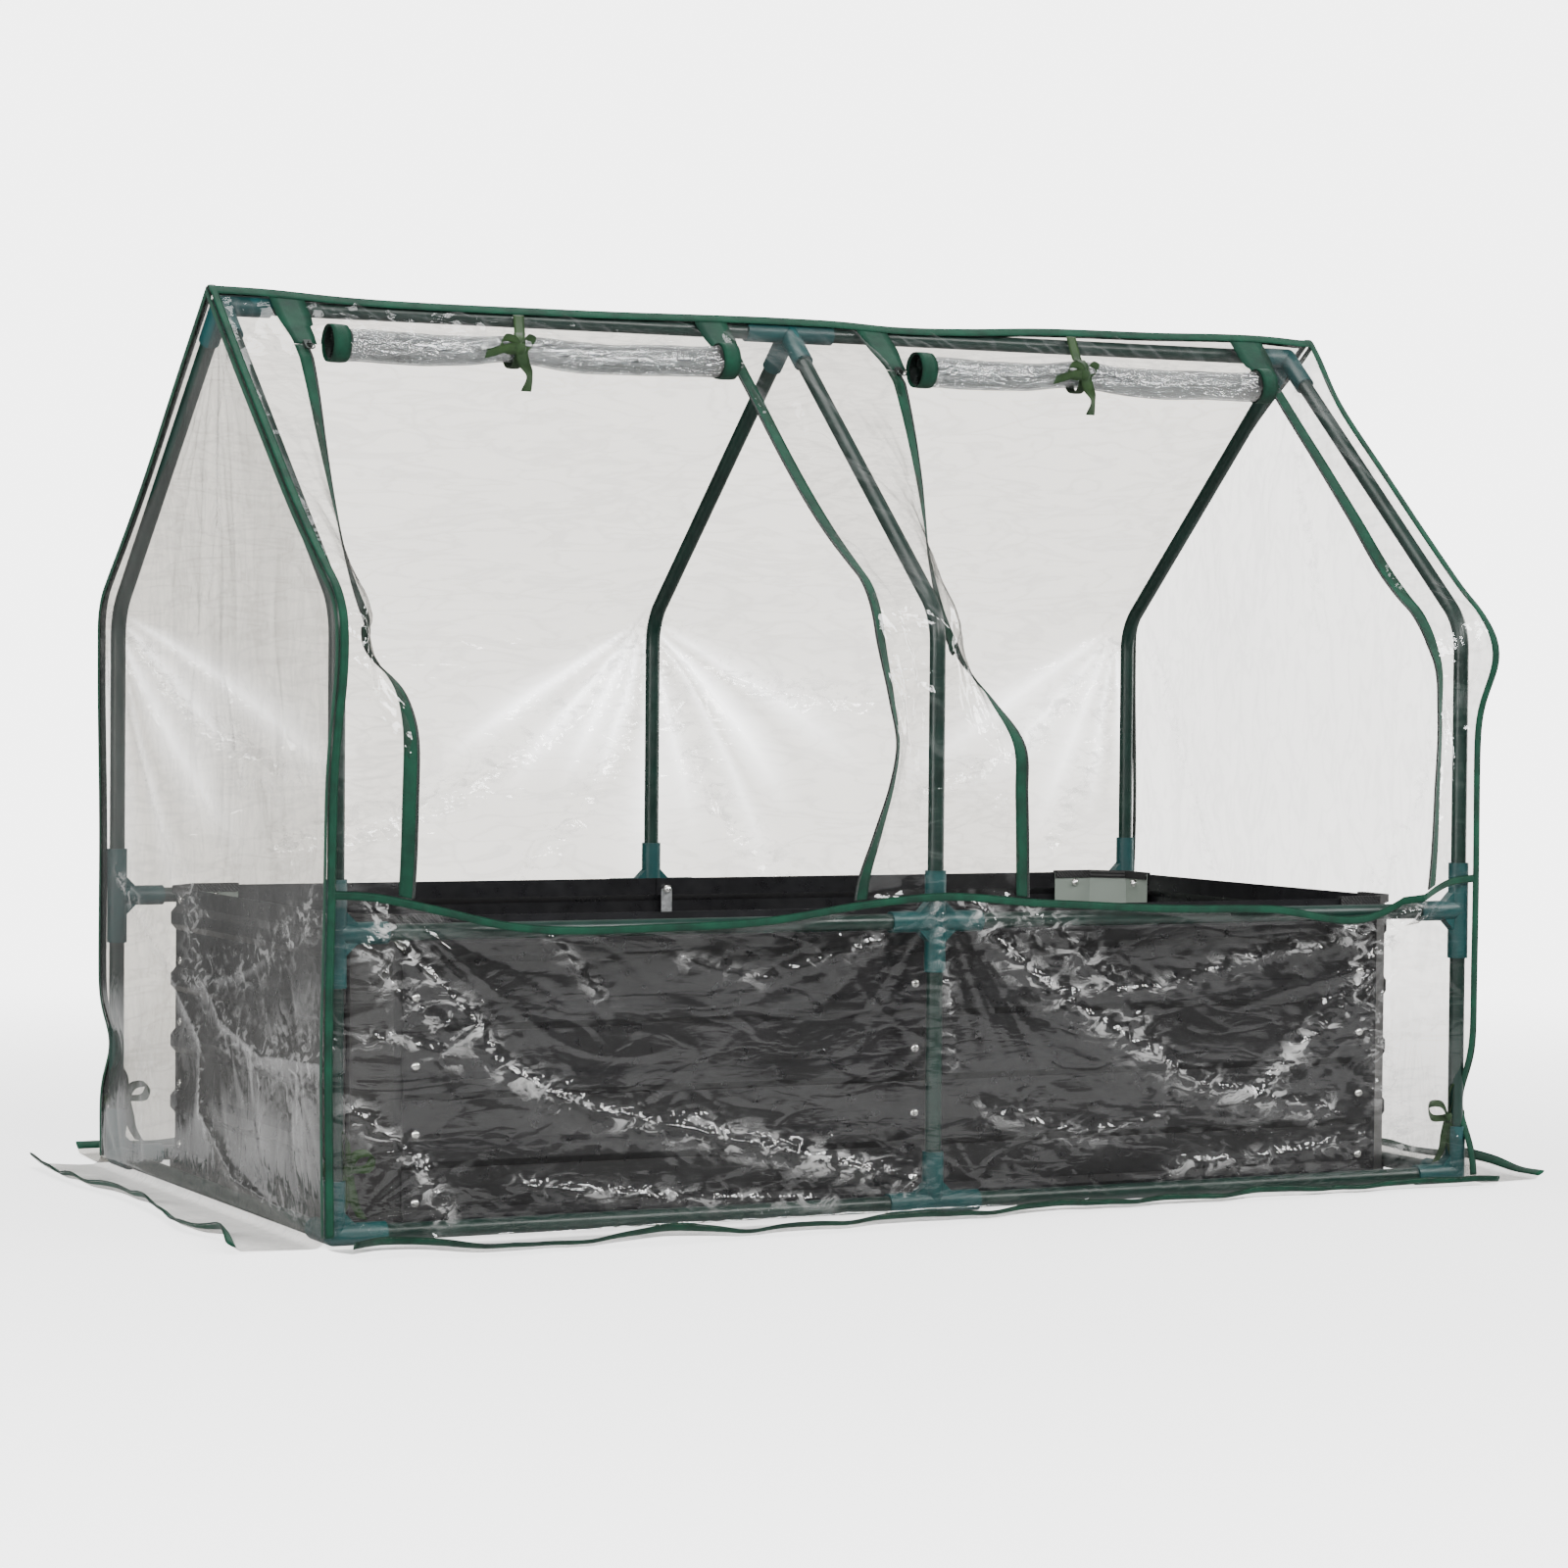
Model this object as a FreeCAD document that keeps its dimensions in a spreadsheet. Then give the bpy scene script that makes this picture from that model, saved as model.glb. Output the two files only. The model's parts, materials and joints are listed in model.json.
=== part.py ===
import FreeCAD, Part

import os
import re

import Sketcher

# Cold frame: a corrugated steel raised bed inside a small tube-framed film greenhouse.
# Origin at the middle of the footprint on the floor. +X runs along the length to the right,
# +Y to the back, +Z up. The doors are on the front, the -Y side.

DIMENSIONS = [
    # Greenhouse frame, between the axes of the tubes.
    ("frame_length", 1250, "between the end posts"),
    ("frame_depth", 680, "between the front and back posts"),
    ("mid_rail_height", 288, "axis of the mid rails"),
    ("eave_height", 589, "where the upright and the slope would meet"),
    ("ridge_height", 890, "axis of the ridge tubes"),
    ("tube_diameter", 16, "outside of every tube"),
    ("tube_wall", 0.8, "steel of the tubes"),
    ("bend_radius", 60, "axis of the bend at the eave"),
    # Plastic sockets.
    ("socket_diameter", 21, "outside of the sockets"),
    ("socket_bore", 16.3, "inside of the sockets"),
    ("socket_reach", 50, "from the crossing of the axes to a socket's mouth"),
    ("socket_stop", 12, "from the crossing of the axes to a tube's end"),
    ("gusset_reach", 29, "leg of the web between two arms"),
    ("gusset_thickness", 12, "thickness of that web"),
    # Raised bed, to the outer face of its flat bands.
    ("bed_length", 1170, "over the end panels"),
    ("bed_depth", 600, "over the long panels"),
    ("bed_height", 300, "of every panel"),
    ("bed_chamfer", 33, "leg of the cut-off corners"),
    ("sheet_thickness", 0.8, "of the panels"),
    ("sheet_gap", 0.1, "between lapped sheets"),
    ("corner_thickness", 1, "of the corner plates"),
    ("corner_flange", 48, "of the corner plates, past the fold"),
    ("panel_setback", 8, "from the fold to the panel's end"),
    ("panel_lap", 24, "of the long panels at the middle"),
    ("rib_pitch", 64.5, "from one rib to the next"),
    ("rib_top", 23.5, "top of the half rib at the bottom edge"),
    ("rib_width", 26, "of a rib at its root"),
    ("rib_slope", 7, "height of a rib's sloping side"),
    ("rib_depth", 6, "that the ribs stand out"),
    ("strap_width", 13, "of the joint straps"),
    ("strap_thickness", 1.5, "of the joint straps"),
    ("strap_base", 12, "from the floor to a strap"),
    ("guard_width", 7, "of the rubber guards"),
    ("guard_height", 8.5, "of the rubber guards"),
    ("guard_overlap", 6.5, "of the guards below the panels' top edge"),
    ("guard_slot", 3.2, "in the guards, over the lapped sheets"),
    # Fasteners.
    ("screw_height", 30, "of the lowest screw"),
    ("screw_inset", 22, "from a corner's fold to its screws"),
    ("head_diameter", 9, "of the screws and the cap nuts"),
    ("head_height", 2.6, "of the screws"),
    ("shank_diameter", 4.2, "of the screws"),
    ("shank_length", 6, "of the screws"),
    ("hole_diameter", 4.8, "in the sheets, and inside the cap nuts"),
    ("nut_skirt", 2, "straight part of a cap nut"),
    ("nut_dome", 4, "domed part of a cap nut"),
    ("nut_bore", 4.4, "depth of a cap nut's hole"),
    ("drill_length", 72, "long enough to pass through every sheet at a corner"),
    ("drill_start", 4, "of a drill's middle, outside the wall"),
    ("cross_length", 4.6, "of the recess in a screw head"),
    ("cross_width", 1, "of the recess in a screw head"),
    # Cover.
    ("film_gap", 14, "from a tube's axis to the film"),
    ("film_thickness", 0.4, "of the film"),
    ("trim_thickness", 1.2, "of the binding, tabs and zip tapes"),
    ("trim_width", 9, "of the binding"),
    ("trim_gap", 0.1, "between the film and what is sewn on it"),
    ("waist_height", 312, "top of the binding below the doors"),
    ("skirt_width", 90, "of the film that lies on the floor"),
    ("door_inner", 95, "from the middle to the inner zips"),
    ("door_outer", 560, "from the middle to the outer zips"),
    ("door_drop", 66, "level distance from the ridge to the doors' tops"),
    ("tape_width", 17, "of half a zip"),
    ("tape_overhang", 3, "of the tape past the film's edge"),
    ("tab_width", 32, "of the fabric tabs"),
    # Rolled doors and their ribbons.
    ("roll_radius", 19, "outside of a rolled door"),
    ("roll_wall", 2, "of the rolled film"),
    ("roll_offset", 21.5, "from the film's edge out to the roll's axis"),
    ("roll_clearance", 15, "from the outer zip to the roll"),
    ("roll_tie_offset", 24, "of a roll's tie, left of the roll's middle"),
    ("roll_inset", 10, "from the inner zip to the roll"),
    ("ribbon_width", 12, "of the ribbons"),
    ("ribbon_thickness", 0.8, "of the ribbons"),
    ("ribbon_tail", 34, "length of a ribbon's loose ends"),
    ("tie_height", 64, "from the floor to the corner ties"),
    # Zip sliders.
    ("slider_length", 10, "along the zip"),
    ("slider_width", 8, "across the zip"),
    ("slider_height", 3.4, "out from the tape"),
    ("slider_round", 1.2, "radius of its upright edges"),
    ("slider_drop", 1, "of a slider's top below the door's"),
    ("bridge_length", 4.6, "of the loop that holds the pull"),
    ("bridge_width", 2, "of that loop"),
    ("bridge_height", 3.4, "of that loop"),
    ("bridge_bore", 2.4, "through that loop"),
    ("pull_radius", 4.4, "of the ring, to the middle of its wire"),
    ("pull_wire", 1.5, "diameter of the ring's wire"),
]

FORMULAS = {
    "post_x": "frame_length / 2",
    "post_y": "frame_depth / 2",
    "floor_rail_height": "socket_diameter / 2",
    "roof_pitch": "atan((ridge_height - eave_height) / post_y)",
    "rail_length": "post_x - 2 * socket_stop",
    "layer": "sheet_thickness + sheet_gap",
    "bed_x": "bed_length / 2",
    "bed_y": "bed_depth / 2",
    "column_x": "bed_x - bed_chamfer - screw_inset",
    "column_y": "bed_y - bed_chamfer - screw_inset",
    "film_x": "post_x + film_gap",
    "film_y": "post_y + film_gap",
    "film_ridge": "ridge_height + film_gap / cos(roof_pitch)",
    "trim_inner": "film_thickness + trim_gap",
    "trim_outer": "trim_inner + trim_thickness",
    "skirt_y": "film_y + skirt_width",
    "skirt_x": "film_x + skirt_width",
    "waist_base": "waist_height - trim_width",
    "waist_seam": "waist_height - trim_width / 2",
    "ridge_trim": "trim_width * cos(roof_pitch)",
    "trim_base": "trim_thickness + 3 * trim_gap",
    "roll_height": "film_ridge - door_drop * tan(roof_pitch)",
    "slider_seat": "trim_outer + trim_gap",
}

FRONT, BACK = "-1", "1"
LEFT, RIGHT = "-1", "1"
SIDE_NAMES = {"x": {LEFT: "left", RIGHT: "right"}, "y": {FRONT: "front", BACK: "back"}}
RIB_COUNT = 4
SCREW_ROWS = 5
MITRE = "tan(22.5 deg)"  # shift of a 45 degree fold for each unit that a line moves inward

doc = FreeCAD.newDocument("ColdFrame")
sheet = doc.addObject("Spreadsheet::Sheet", "Dimensions")
for row, (alias, size, note) in enumerate(DIMENSIONS, start=1):
    sheet.set(f"A{row}", note)
    sheet.set(f"B{row}", str(size))
    sheet.setAlias(f"B{row}", alias)
doc.recompute()

ALIASES = {alias for alias, size, note in DIMENSIONS}
subparts = []


# Formulas, placing and joining.

def formula(text):
    """Write out the named formulas and point each alias at the sheet."""
    def expand(match):
        word = match.group(0)
        if word in FORMULAS:
            return "(" + formula(FORMULAS[word]) + ")"
        if word in ALIASES:
            return "Dimensions." + word
        return word
    return re.sub(r"[a-z][a-z_]*", expand, text)


def amount(text):
    """Return the present value of a formula."""
    result = sheet.evalExpression(formula(text))
    return float(getattr(result, "Value", result))


def place(item, base=("0", "0", "0"), axis=(0, 0, 1), angle="0 deg"):
    """Bind an object's position and its turn about one axis."""
    item.Placement = FreeCAD.Placement(FreeCAD.Vector(), FreeCAD.Rotation(FreeCAD.Vector(*axis), 1))
    for letter, text in zip("xyz", base):
        item.setExpression(f"Placement.Base.{letter}", formula(text))
    item.setExpression("Placement.Rotation.Angle", formula(angle))
    return item


def primitive(kind, name, **sizes):
    """Add a Part primitive with each size bound to a formula."""
    item = doc.addObject(f"Part::{kind}", name)
    for size_name, text in sizes.items():
        item.setExpression(size_name, formula(text))
    return item


def fuse(name, members):
    item = doc.addObject("Part::MultiFuse", name)
    item.Shapes = members
    item.Refine = True
    return item


def group(name, members):
    """Gather separate solids in one compound."""
    item = doc.addObject("Part::Compound", name)
    item.Links = members
    return item


def cut(name, base, tool):
    item = doc.addObject("Part::Cut", name)
    item.Base = base
    item.Tool = tool
    return item


def keep(name, item):
    """Register a finished sub-part under the name of its file."""
    item.Label = name
    subparts.append(item)
    return item


def keep_group(name, members):
    return keep(name, group(name, members))


# Solids drawn as sketches.

def origin_plane(body, role):
    return next(plane for plane in body.Origin.OriginFeatures if plane.Role == role)


def new_sketch(body, name, role):
    sketch = body.newObject("Sketcher::SketchObject", name)
    sketch.AttachmentSupport = [(origin_plane(body, role), "")]
    sketch.MapMode = "FlatFace"
    return sketch


def bound_constraint(sketch, text, *constraint):
    """Add a constraint whose value follows a formula."""
    index = sketch.addConstraint(Sketcher.Constraint(*constraint))
    sketch.setExpression(f"Constraints[{index}]", formula(text))


def draw_polygon(sketch, points):
    """Draw a closed outline with both coordinates of every corner bound."""
    corners = [FreeCAD.Vector(amount(across), amount(up), 0) for across, up in points]
    following = corners[1:] + corners[:1]
    for corner, after in zip(corners, following):
        sketch.addGeometry(Part.LineSegment(corner, after), False)
    for index in range(len(corners)):
        after = (index + 1) % len(corners)
        sketch.addConstraint(Sketcher.Constraint("Coincident", index, 2, after, 1))
    for index, (across, up) in enumerate(points):
        bound_constraint(sketch, across, "DistanceX", -1, 1, index, 1, corners[index].x)
        bound_constraint(sketch, up, "DistanceY", -1, 1, index, 1, corners[index].y)


def draw_ring(sketch, radius_texts):
    """Draw circles about the sketch's origin."""
    for index, text in enumerate(radius_texts):
        circle = Part.Circle(FreeCAD.Vector(), FreeCAD.Vector(0, 0, 1), amount(text))
        sketch.addGeometry(circle, False)
        sketch.addConstraint(Sketcher.Constraint("Coincident", index, 3, -1, 1))
        bound_constraint(sketch, text, "Radius", index, amount(text))


def padded_body(name, role, draw, shapes, length, midplane=False):
    """Make a body from one sketch and one pad."""
    body = doc.addObject("PartDesign::Body", name)
    sketch = new_sketch(body, name + "_sketch", role)
    draw(sketch, shapes)
    pad = body.newObject("PartDesign::Pad", name + "_pad")
    pad.Profile = sketch
    pad.setExpression("Length", formula(length))
    if midplane:
        pad.SideType = "Symmetric"
    sketch.Visibility = False
    return body


def strip(name, points, start, end):
    """Draw an outline in the YZ plane and draw it out along X from start to end."""
    body = padded_body(name, "YZ_Plane", draw_polygon, points, f"({end}) - ({start})")
    return place(body, (start, "0", "0"))


def prism(name, points, base, height):
    """Draw an outline in the XY plane and draw it up from a base height."""
    body = padded_body(name, "XY_Plane", draw_polygon, points, height)
    return place(body, ("0", "0", base))


def tube(name, length, base, axis=(0, 0, 1), angle="0 deg"):
    """Make a round tube that starts at base and runs along +Z before its turn."""
    radii = ["tube_diameter / 2", "tube_diameter / 2 - tube_wall"]
    body = padded_body(name, "XY_Plane", draw_ring, radii, length)
    return place(body, base, axis, angle)


ALONG_X = {"axis": (0, 1, 0), "angle": "90 deg"}
ALONG_Y = {"axis": (1, 0, 0), "angle": "-90 deg"}


# Greenhouse frame.

def draw_arch_path(sketch):
    """Draw the upright, the bend and the slope of an arch tube's axis."""
    radius = amount("bend_radius")
    pitch = amount("roof_pitch")
    bend_run = "bend_radius * tan(45 deg - roof_pitch / 2)"
    upright = amount(f"eave_height - mid_rail_height - socket_stop - {bend_run}")
    centre = FreeCAD.Vector(radius, upright, 0)
    turn = FreeCAD.Rotation(FreeCAD.Vector(0, 0, 1), 90 + pitch)
    bend_end = centre + turn.multVec(FreeCAD.Vector(radius, 0, 0))
    run = "post_y - socket_stop * cos(roof_pitch)"
    rise = "ridge_height - mid_rail_height - socket_stop * (1 + sin(roof_pitch))"
    top = FreeCAD.Vector(amount(run), amount(rise), 0)
    bend = Part.ArcOfCircle(
        Part.Circle(centre, FreeCAD.Vector(0, 0, 1), radius),
        FreeCAD.Units.Quantity(90 + pitch, "deg").getValueAs("rad").Value,
        FreeCAD.Units.Quantity(180, "deg").getValueAs("rad").Value,
    )
    sketch.addGeometry(Part.LineSegment(FreeCAD.Vector(), FreeCAD.Vector(0, upright, 0)), False)
    sketch.addGeometry(bend, False)
    sketch.addGeometry(Part.LineSegment(bend_end, top), False)
    sketch.addConstraint(Sketcher.Constraint("Coincident", 0, 1, -1, 1))
    sketch.addConstraint(Sketcher.Constraint("Vertical", 0))
    sketch.addConstraint(Sketcher.Constraint("Tangent", 0, 2, 1, 2))
    sketch.addConstraint(Sketcher.Constraint("Tangent", 1, 1, 2, 1))
    bound_constraint(sketch, "bend_radius", "Radius", 1, radius)
    bound_constraint(sketch, run, "DistanceX", -1, 1, 2, 2, top.x)
    bound_constraint(sketch, rise, "DistanceY", -1, 1, 2, 2, top.y)
    pitch_in_radians = FreeCAD.Units.Quantity(pitch, "deg").getValueAs("rad").Value
    bound_constraint(sketch, "roof_pitch", "Angle", 2, pitch_in_radians)


def arch_tube(name, x_side, y_side):
    """Bend one tube from a mid socket up to the ridge socket."""
    body = doc.addObject("PartDesign::Body", name)
    path = new_sketch(body, name + "_path", "YZ_Plane")
    draw_arch_path(path)
    ring = new_sketch(body, name + "_ring", "XY_Plane")
    draw_ring(ring, ["tube_diameter / 2", "tube_diameter / 2 - tube_wall"])
    pipe = body.newObject("PartDesign::AdditivePipe", name + "_pipe")
    pipe.Profile = ring
    pipe.Spine = (path, ["Edge1", "Edge2", "Edge3"])
    path.Visibility = False
    ring.Visibility = False
    base = (f"{x_side} * post_x", f"{y_side} * post_y", "mid_rail_height + socket_stop")
    return place(body, base, angle=f"90 deg * (1 + {y_side})")


def frame_tubes():
    for y_side, y_name in SIDE_NAMES["y"].items():
        for x_name, x_side in (("left", LEFT), ("middle", "0"), ("right", RIGHT)):
            name = f"arch_tube_{y_name}_{x_name}"
            keep(name, arch_tube(name, x_side, y_side))

    posts, mid_rails, long_rails = [], [], []
    post_length = "mid_rail_height - floor_rail_height - 2 * socket_stop"
    for y_side, y_name in SIDE_NAMES["y"].items():
        y = f"{y_side} * post_y"
        for x_name, x_side in (("left", LEFT), ("middle", "0"), ("right", RIGHT)):
            base = (f"{x_side} * post_x", y, "floor_rail_height + socket_stop")
            posts.append(tube(f"lower_post_{y_name}_{x_name}", post_length, base))
        for x_name, start in (("left", "socket_stop - post_x"), ("right", "socket_stop")):
            ending = f"{y_name}_{x_name}"
            base = (start, y, "mid_rail_height")
            mid_rails.append(tube("mid_rail_" + ending, "rail_length", base, **ALONG_X))
            base = (start, y, "floor_rail_height")
            long_rails.append(tube("bottom_rail_" + ending, "rail_length", base, **ALONG_X))
    keep_group("lower_posts", posts)
    keep_group("mid_rails", mid_rails)
    keep_group("bottom_rails_long", long_rails)

    end_rails, ridges = [], []
    for x_side, x_name in SIDE_NAMES["x"].items():
        base = (f"{x_side} * post_x", "socket_stop - post_y", "floor_rail_height")
        end_rails.append(tube("end_rail_" + x_name, "2 * (post_y - socket_stop)", base, **ALONG_Y))
        start = f"socket_stop - post_x * (1 - {x_side}) / 2"
        ridges.append(tube("ridge_tube_" + x_name, "rail_length", (start, "0", "ridge_height"), **ALONG_X))
    keep_group("bottom_rails_end", end_rails)
    keep_group("ridge_tubes", ridges)


ARM_TURNS = {
    "up": ((1, 0, 0), "0 deg"),
    "down": ((1, 0, 0), "180 deg"),
    "right": ((0, 1, 0), "90 deg"),
    "left": ((0, 1, 0), "-90 deg"),
    "back": ((1, 0, 0), "-90 deg"),
    "front": ((1, 0, 0), "90 deg"),
    "slope_front": ((1, 0, 0), "90 deg + roof_pitch"),
    "slope_back": ((1, 0, 0), "-90 deg - roof_pitch"),
}
ARM_DIRECTIONS = {
    "up": ("0", "0", "1"),
    "down": ("0", "0", "-1"),
    "right": ("1", "0", "0"),
    "left": ("-1", "0", "0"),
    "back": ("0", "1", "0"),
    "front": ("0", "-1", "0"),
    "slope_front": ("0", "-cos(roof_pitch)", "-sin(roof_pitch)"),
    "slope_back": ("0", "cos(roof_pitch)", "-sin(roof_pitch)"),
}
OPPOSITE_ARMS = ({"up", "down"}, {"left", "right"}, {"front", "back"})


def gusset(name, first, second):
    """Fill the corner between two square arms with a triangular web."""
    web = primitive(
        "Wedge", name, Xmax="gusset_reach", Ymax="gusset_reach",
        Zmin="-gusset_thickness / 2", Z2min="-gusset_thickness / 2",
        Zmax="gusset_thickness / 2", Z2max="gusset_thickness / 2",
    )
    web.Xmin = web.Ymin = web.X2min = web.X2max = 0
    along, across = (FreeCAD.Vector(*map(float, ARM_DIRECTIONS[arm])) for arm in (first, second))
    turn = FreeCAD.Rotation(along, across, along.cross(across), "XYZ")
    web.Placement = FreeCAD.Placement(FreeCAD.Vector(), turn)
    return web


def socket(name, base, arms):
    """Join one sleeve for each arm about a ball, and bore each sleeve down to its stop."""
    sleeves = [primitive("Sphere", name + "_core", Radius="socket_diameter / 2")]
    bores = []
    for arm in arms:
        axis, angle = ARM_TURNS[arm]
        sleeve = primitive("Cylinder", f"{name}_{arm}", Radius="socket_diameter / 2", Height="socket_reach")
        sleeves.append(place(sleeve, axis=axis, angle=angle))
        hollow = primitive(
            "Cylinder", f"{name}_{arm}_hollow", Radius="socket_bore / 2", Height="socket_reach",
        )
        # A hollow starts at the stop, so it is moved along its own arm.
        stop = [f"socket_stop * ({part})" for part in ARM_DIRECTIONS[arm]]
        bores.append(place(hollow, stop, axis, angle))
    square_arms = [arm for arm in arms if not arm.startswith("slope")]
    for index, first in enumerate(square_arms):
        for second in square_arms[index + 1:]:
            if {first, second} not in OPPOSITE_ARMS:
                sleeves.append(gusset(f"{name}_{first}_{second}_web", first, second))
    solid = fuse(name + "_solid", sleeves)
    return place(cut(name, solid, group(name + "_hollows", bores)), base)


def frame_sockets():
    slopes = ["slope_front", "slope_back"]
    ridge_ends, tees, crosses, corners, floor_tees = [], [], [], [], []
    for x_side, x_name in SIDE_NAMES["x"].items():
        x = f"{x_side} * post_x"
        inward = "right" if x_side == LEFT else "left"
        ridge_ends.append(socket("ridge_end_" + x_name, (x, "0", "ridge_height"), [inward] + slopes))
        for y_side, y_name in SIDE_NAMES["y"].items():
            y = f"{y_side} * post_y"
            behind = "back" if y_side == FRONT else "front"
            ending = f"{y_name}_{x_name}"
            tees.append(socket("mid_tee_" + ending, (x, y, "mid_rail_height"), ["up", "down", inward]))
            base = (x, y, "floor_rail_height")
            corners.append(socket("floor_corner_" + ending, base, ["up", inward, behind]))
    middle = socket("ridge_middle", ("0", "0", "ridge_height"), ["left", "right"] + slopes)
    keep("ridge_connector_middle", middle)
    for y_side, y_name in SIDE_NAMES["y"].items():
        y = f"{y_side} * post_y"
        base = ("0", y, "mid_rail_height")
        crosses.append(socket("mid_cross_" + y_name, base, ["up", "down", "left", "right"]))
        base = ("0", y, "floor_rail_height")
        floor_tees.append(socket("floor_tee_" + y_name, base, ["up", "left", "right"]))
    keep_group("ridge_end_connectors", ridge_ends)
    keep_group("mid_tee_connectors", tees)
    keep_group("mid_cross_connectors", crosses)
    keep_group("bottom_corner_connectors", corners)
    keep_group("bottom_tee_connectors", floor_tees)


# Raised bed. A wall is drawn with its outer face at y = 0 and its outside towards -Y,
# then turned about Z and moved out to its place.

WALLS = {
    "front": ("0 deg", "0", "-1"),
    "right": ("90 deg", "1", "0"),
    "back": ("180 deg", "0", "1"),
    "left": ("-90 deg", "-1", "0"),
}


def wall_base(wall, inset, along="0"):
    """Return the place of a point on a wall, along it from its middle and inset from its face."""
    angle, x_sign, y_sign = WALLS[wall]
    x = f"({x_sign}) * (bed_x - ({inset})) - ({y_sign}) * ({along})"
    y = f"({y_sign}) * (bed_y - ({inset})) + ({x_sign}) * ({along})"
    return x, y, angle


def ribbed_outline():
    """Run up the outer face of a ribbed sheet and back down its inner face."""
    face = [("-rib_depth", "0"), ("-rib_depth", "rib_top - rib_slope"), ("0", "rib_top")]
    for index in range(RIB_COUNT):
        root = f"rib_top + {index + 1} * rib_pitch - rib_width"
        face += [
            ("0", root),
            ("-rib_depth", root + " + rib_slope"),
            ("-rib_depth", root + " + rib_width - rib_slope"),
            ("0", root + " + rib_width"),
        ]
    face.append(("0", "bed_height"))
    inner = [(across + " + sheet_thickness", up) for across, up in reversed(face)]
    return face + inner


def ribbed_sheet(name, length):
    return padded_body(name, "YZ_Plane", draw_polygon, ribbed_outline(), length, midplane=True)


def screw_columns():
    """List every column of fasteners: wall, place along the wall, sheets outside it."""
    columns = []
    for wall in ("front", "back"):
        lapped = "1" if wall == "front" else "0"
        columns += [(wall, "-column_x", "1 - " + lapped), (wall, "0", "0"), (wall, "column_x", lapped)]
    for wall in ("left", "right"):
        columns += [(wall, "-column_y", "0"), (wall, "column_y", "0")]
    return columns


def hole_column(name, wall, along):
    """Make the drills for one column of screw holes."""
    drills = []
    x, y, angle = wall_base(wall, "drill_start", along)
    axis = (1, 0, 0) if wall in ("front", "back") else (0, 1, 0)
    for index in range(SCREW_ROWS):
        drill = primitive(
            "Cylinder", f"{name}_{index}", Radius="hole_diameter / 2", Height="drill_length",
        )
        height = f"screw_height + {index} * rib_pitch"
        reach = "drill_length / 2"
        if wall in ("front", "back"):
            base = (x, f"{y} + {reach}", height)
        else:
            base = (f"{x} - {reach}", y, height)
        drills.append(place(drill, base, axis, "90 deg"))
    return drills


def drilled(name, blank, columns):
    """Cut the screw holes of some columns through a sheet."""
    drills = []
    for index, (wall, along) in enumerate(columns):
        drills += hole_column(f"{name}_drill_{index}", wall, along)
    return cut(name + "_drilled", blank, group(name + "_drills", drills))


def bed_panels():
    half_panel = "bed_x - bed_chamfer - panel_setback"
    for wall in ("front", "back"):
        for x_side, x_name in SIDE_NAMES["x"].items():
            name = f"bed_panel_{wall}_{x_name}"
            length = f"{half_panel} + panel_lap / 2"
            body = ribbed_sheet(name + "_sheet", length)
            # The right-hand panels lie one sheet further in, behind the lap.
            inset = f"layer * (1 + {x_side}) / 2"
            turned = "1" if wall == "front" else "-1"
            along = f"{x_side} * {turned} * ({half_panel} - panel_lap / 2) / 2"
            x, y, angle = wall_base(wall, inset, along)
            place(body, (x, y, "0"), angle=angle)
            columns = [(wall, "0"), (wall, f"{x_side} * {turned} * column_x")]
            keep(name, drilled(name, body, columns))
    for x_side, x_name in SIDE_NAMES["x"].items():
        name = f"bed_panel_{x_name}_end"
        length = "2 * (bed_y - bed_chamfer - panel_setback)"
        body = ribbed_sheet(name + "_sheet", length)
        x, y, angle = wall_base(x_name, "0")
        place(body, (x, y, "0"), angle=angle)
        keep(name, drilled(name, body, [(x_name, "-column_y"), (x_name, "column_y")]))


def corner_band(x_side, y_side, inset, thickness):
    """Outline a band that runs along two walls and across the cut-off corner, seen from above."""
    reach = "(bed_chamfer + corner_flange)"
    outline = []
    for depth in (inset, f"({inset}) + ({thickness})"):
        fold = f"bed_chamfer + ({depth}) * {MITRE}"
        line = [
            (f"bed_x - {reach}", f"bed_y - ({depth})"),
            (f"bed_x - ({fold})", f"bed_y - ({depth})"),
            (f"bed_x - ({depth})", f"bed_y - ({fold})"),
            (f"bed_x - ({depth})", f"bed_y - {reach}"),
        ]
        outline += line if depth == inset else reversed(line)
    return [(f"{x_side} * ({x})", f"{y_side} * ({y})") for x, y in outline]


def bed_corners():
    guards = []
    for x_side, x_name in SIDE_NAMES["x"].items():
        for y_side, y_name in SIDE_NAMES["y"].items():
            name = f"bed_corner_{y_name}_{x_name}"
            outline = corner_band(x_side, y_side, "2 * layer", "corner_thickness")
            plate = prism(name + "_plate", outline, "0", "bed_height")
            long_side = f"{x_side} * {'1' if y_side == FRONT else '-1'} * column_x"
            short_side = f"{y_side} * {'1' if x_side == RIGHT else '-1'} * column_y"
            keep(name, drilled(name, plate, [(y_name, long_side), (x_name, short_side)]))

            clearance = "2 * sheet_gap"
            lip = "(guard_width - guard_slot) / 2"
            base = "bed_height - guard_overlap"
            name = f"edge_guard_{y_name}_{x_name}"
            outline = corner_band(x_side, y_side, f"-({clearance}) - {lip}", "guard_width")
            block = prism(name + "_block", outline, base, "guard_height")
            outline = corner_band(x_side, y_side, f"-({clearance})", "guard_slot")
            slot = prism(name + "_slot", outline, base, "guard_overlap + sheet_gap")
            guards.append(cut(name, block, slot))
    keep_group("corner_edge_guards", guards)


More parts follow.
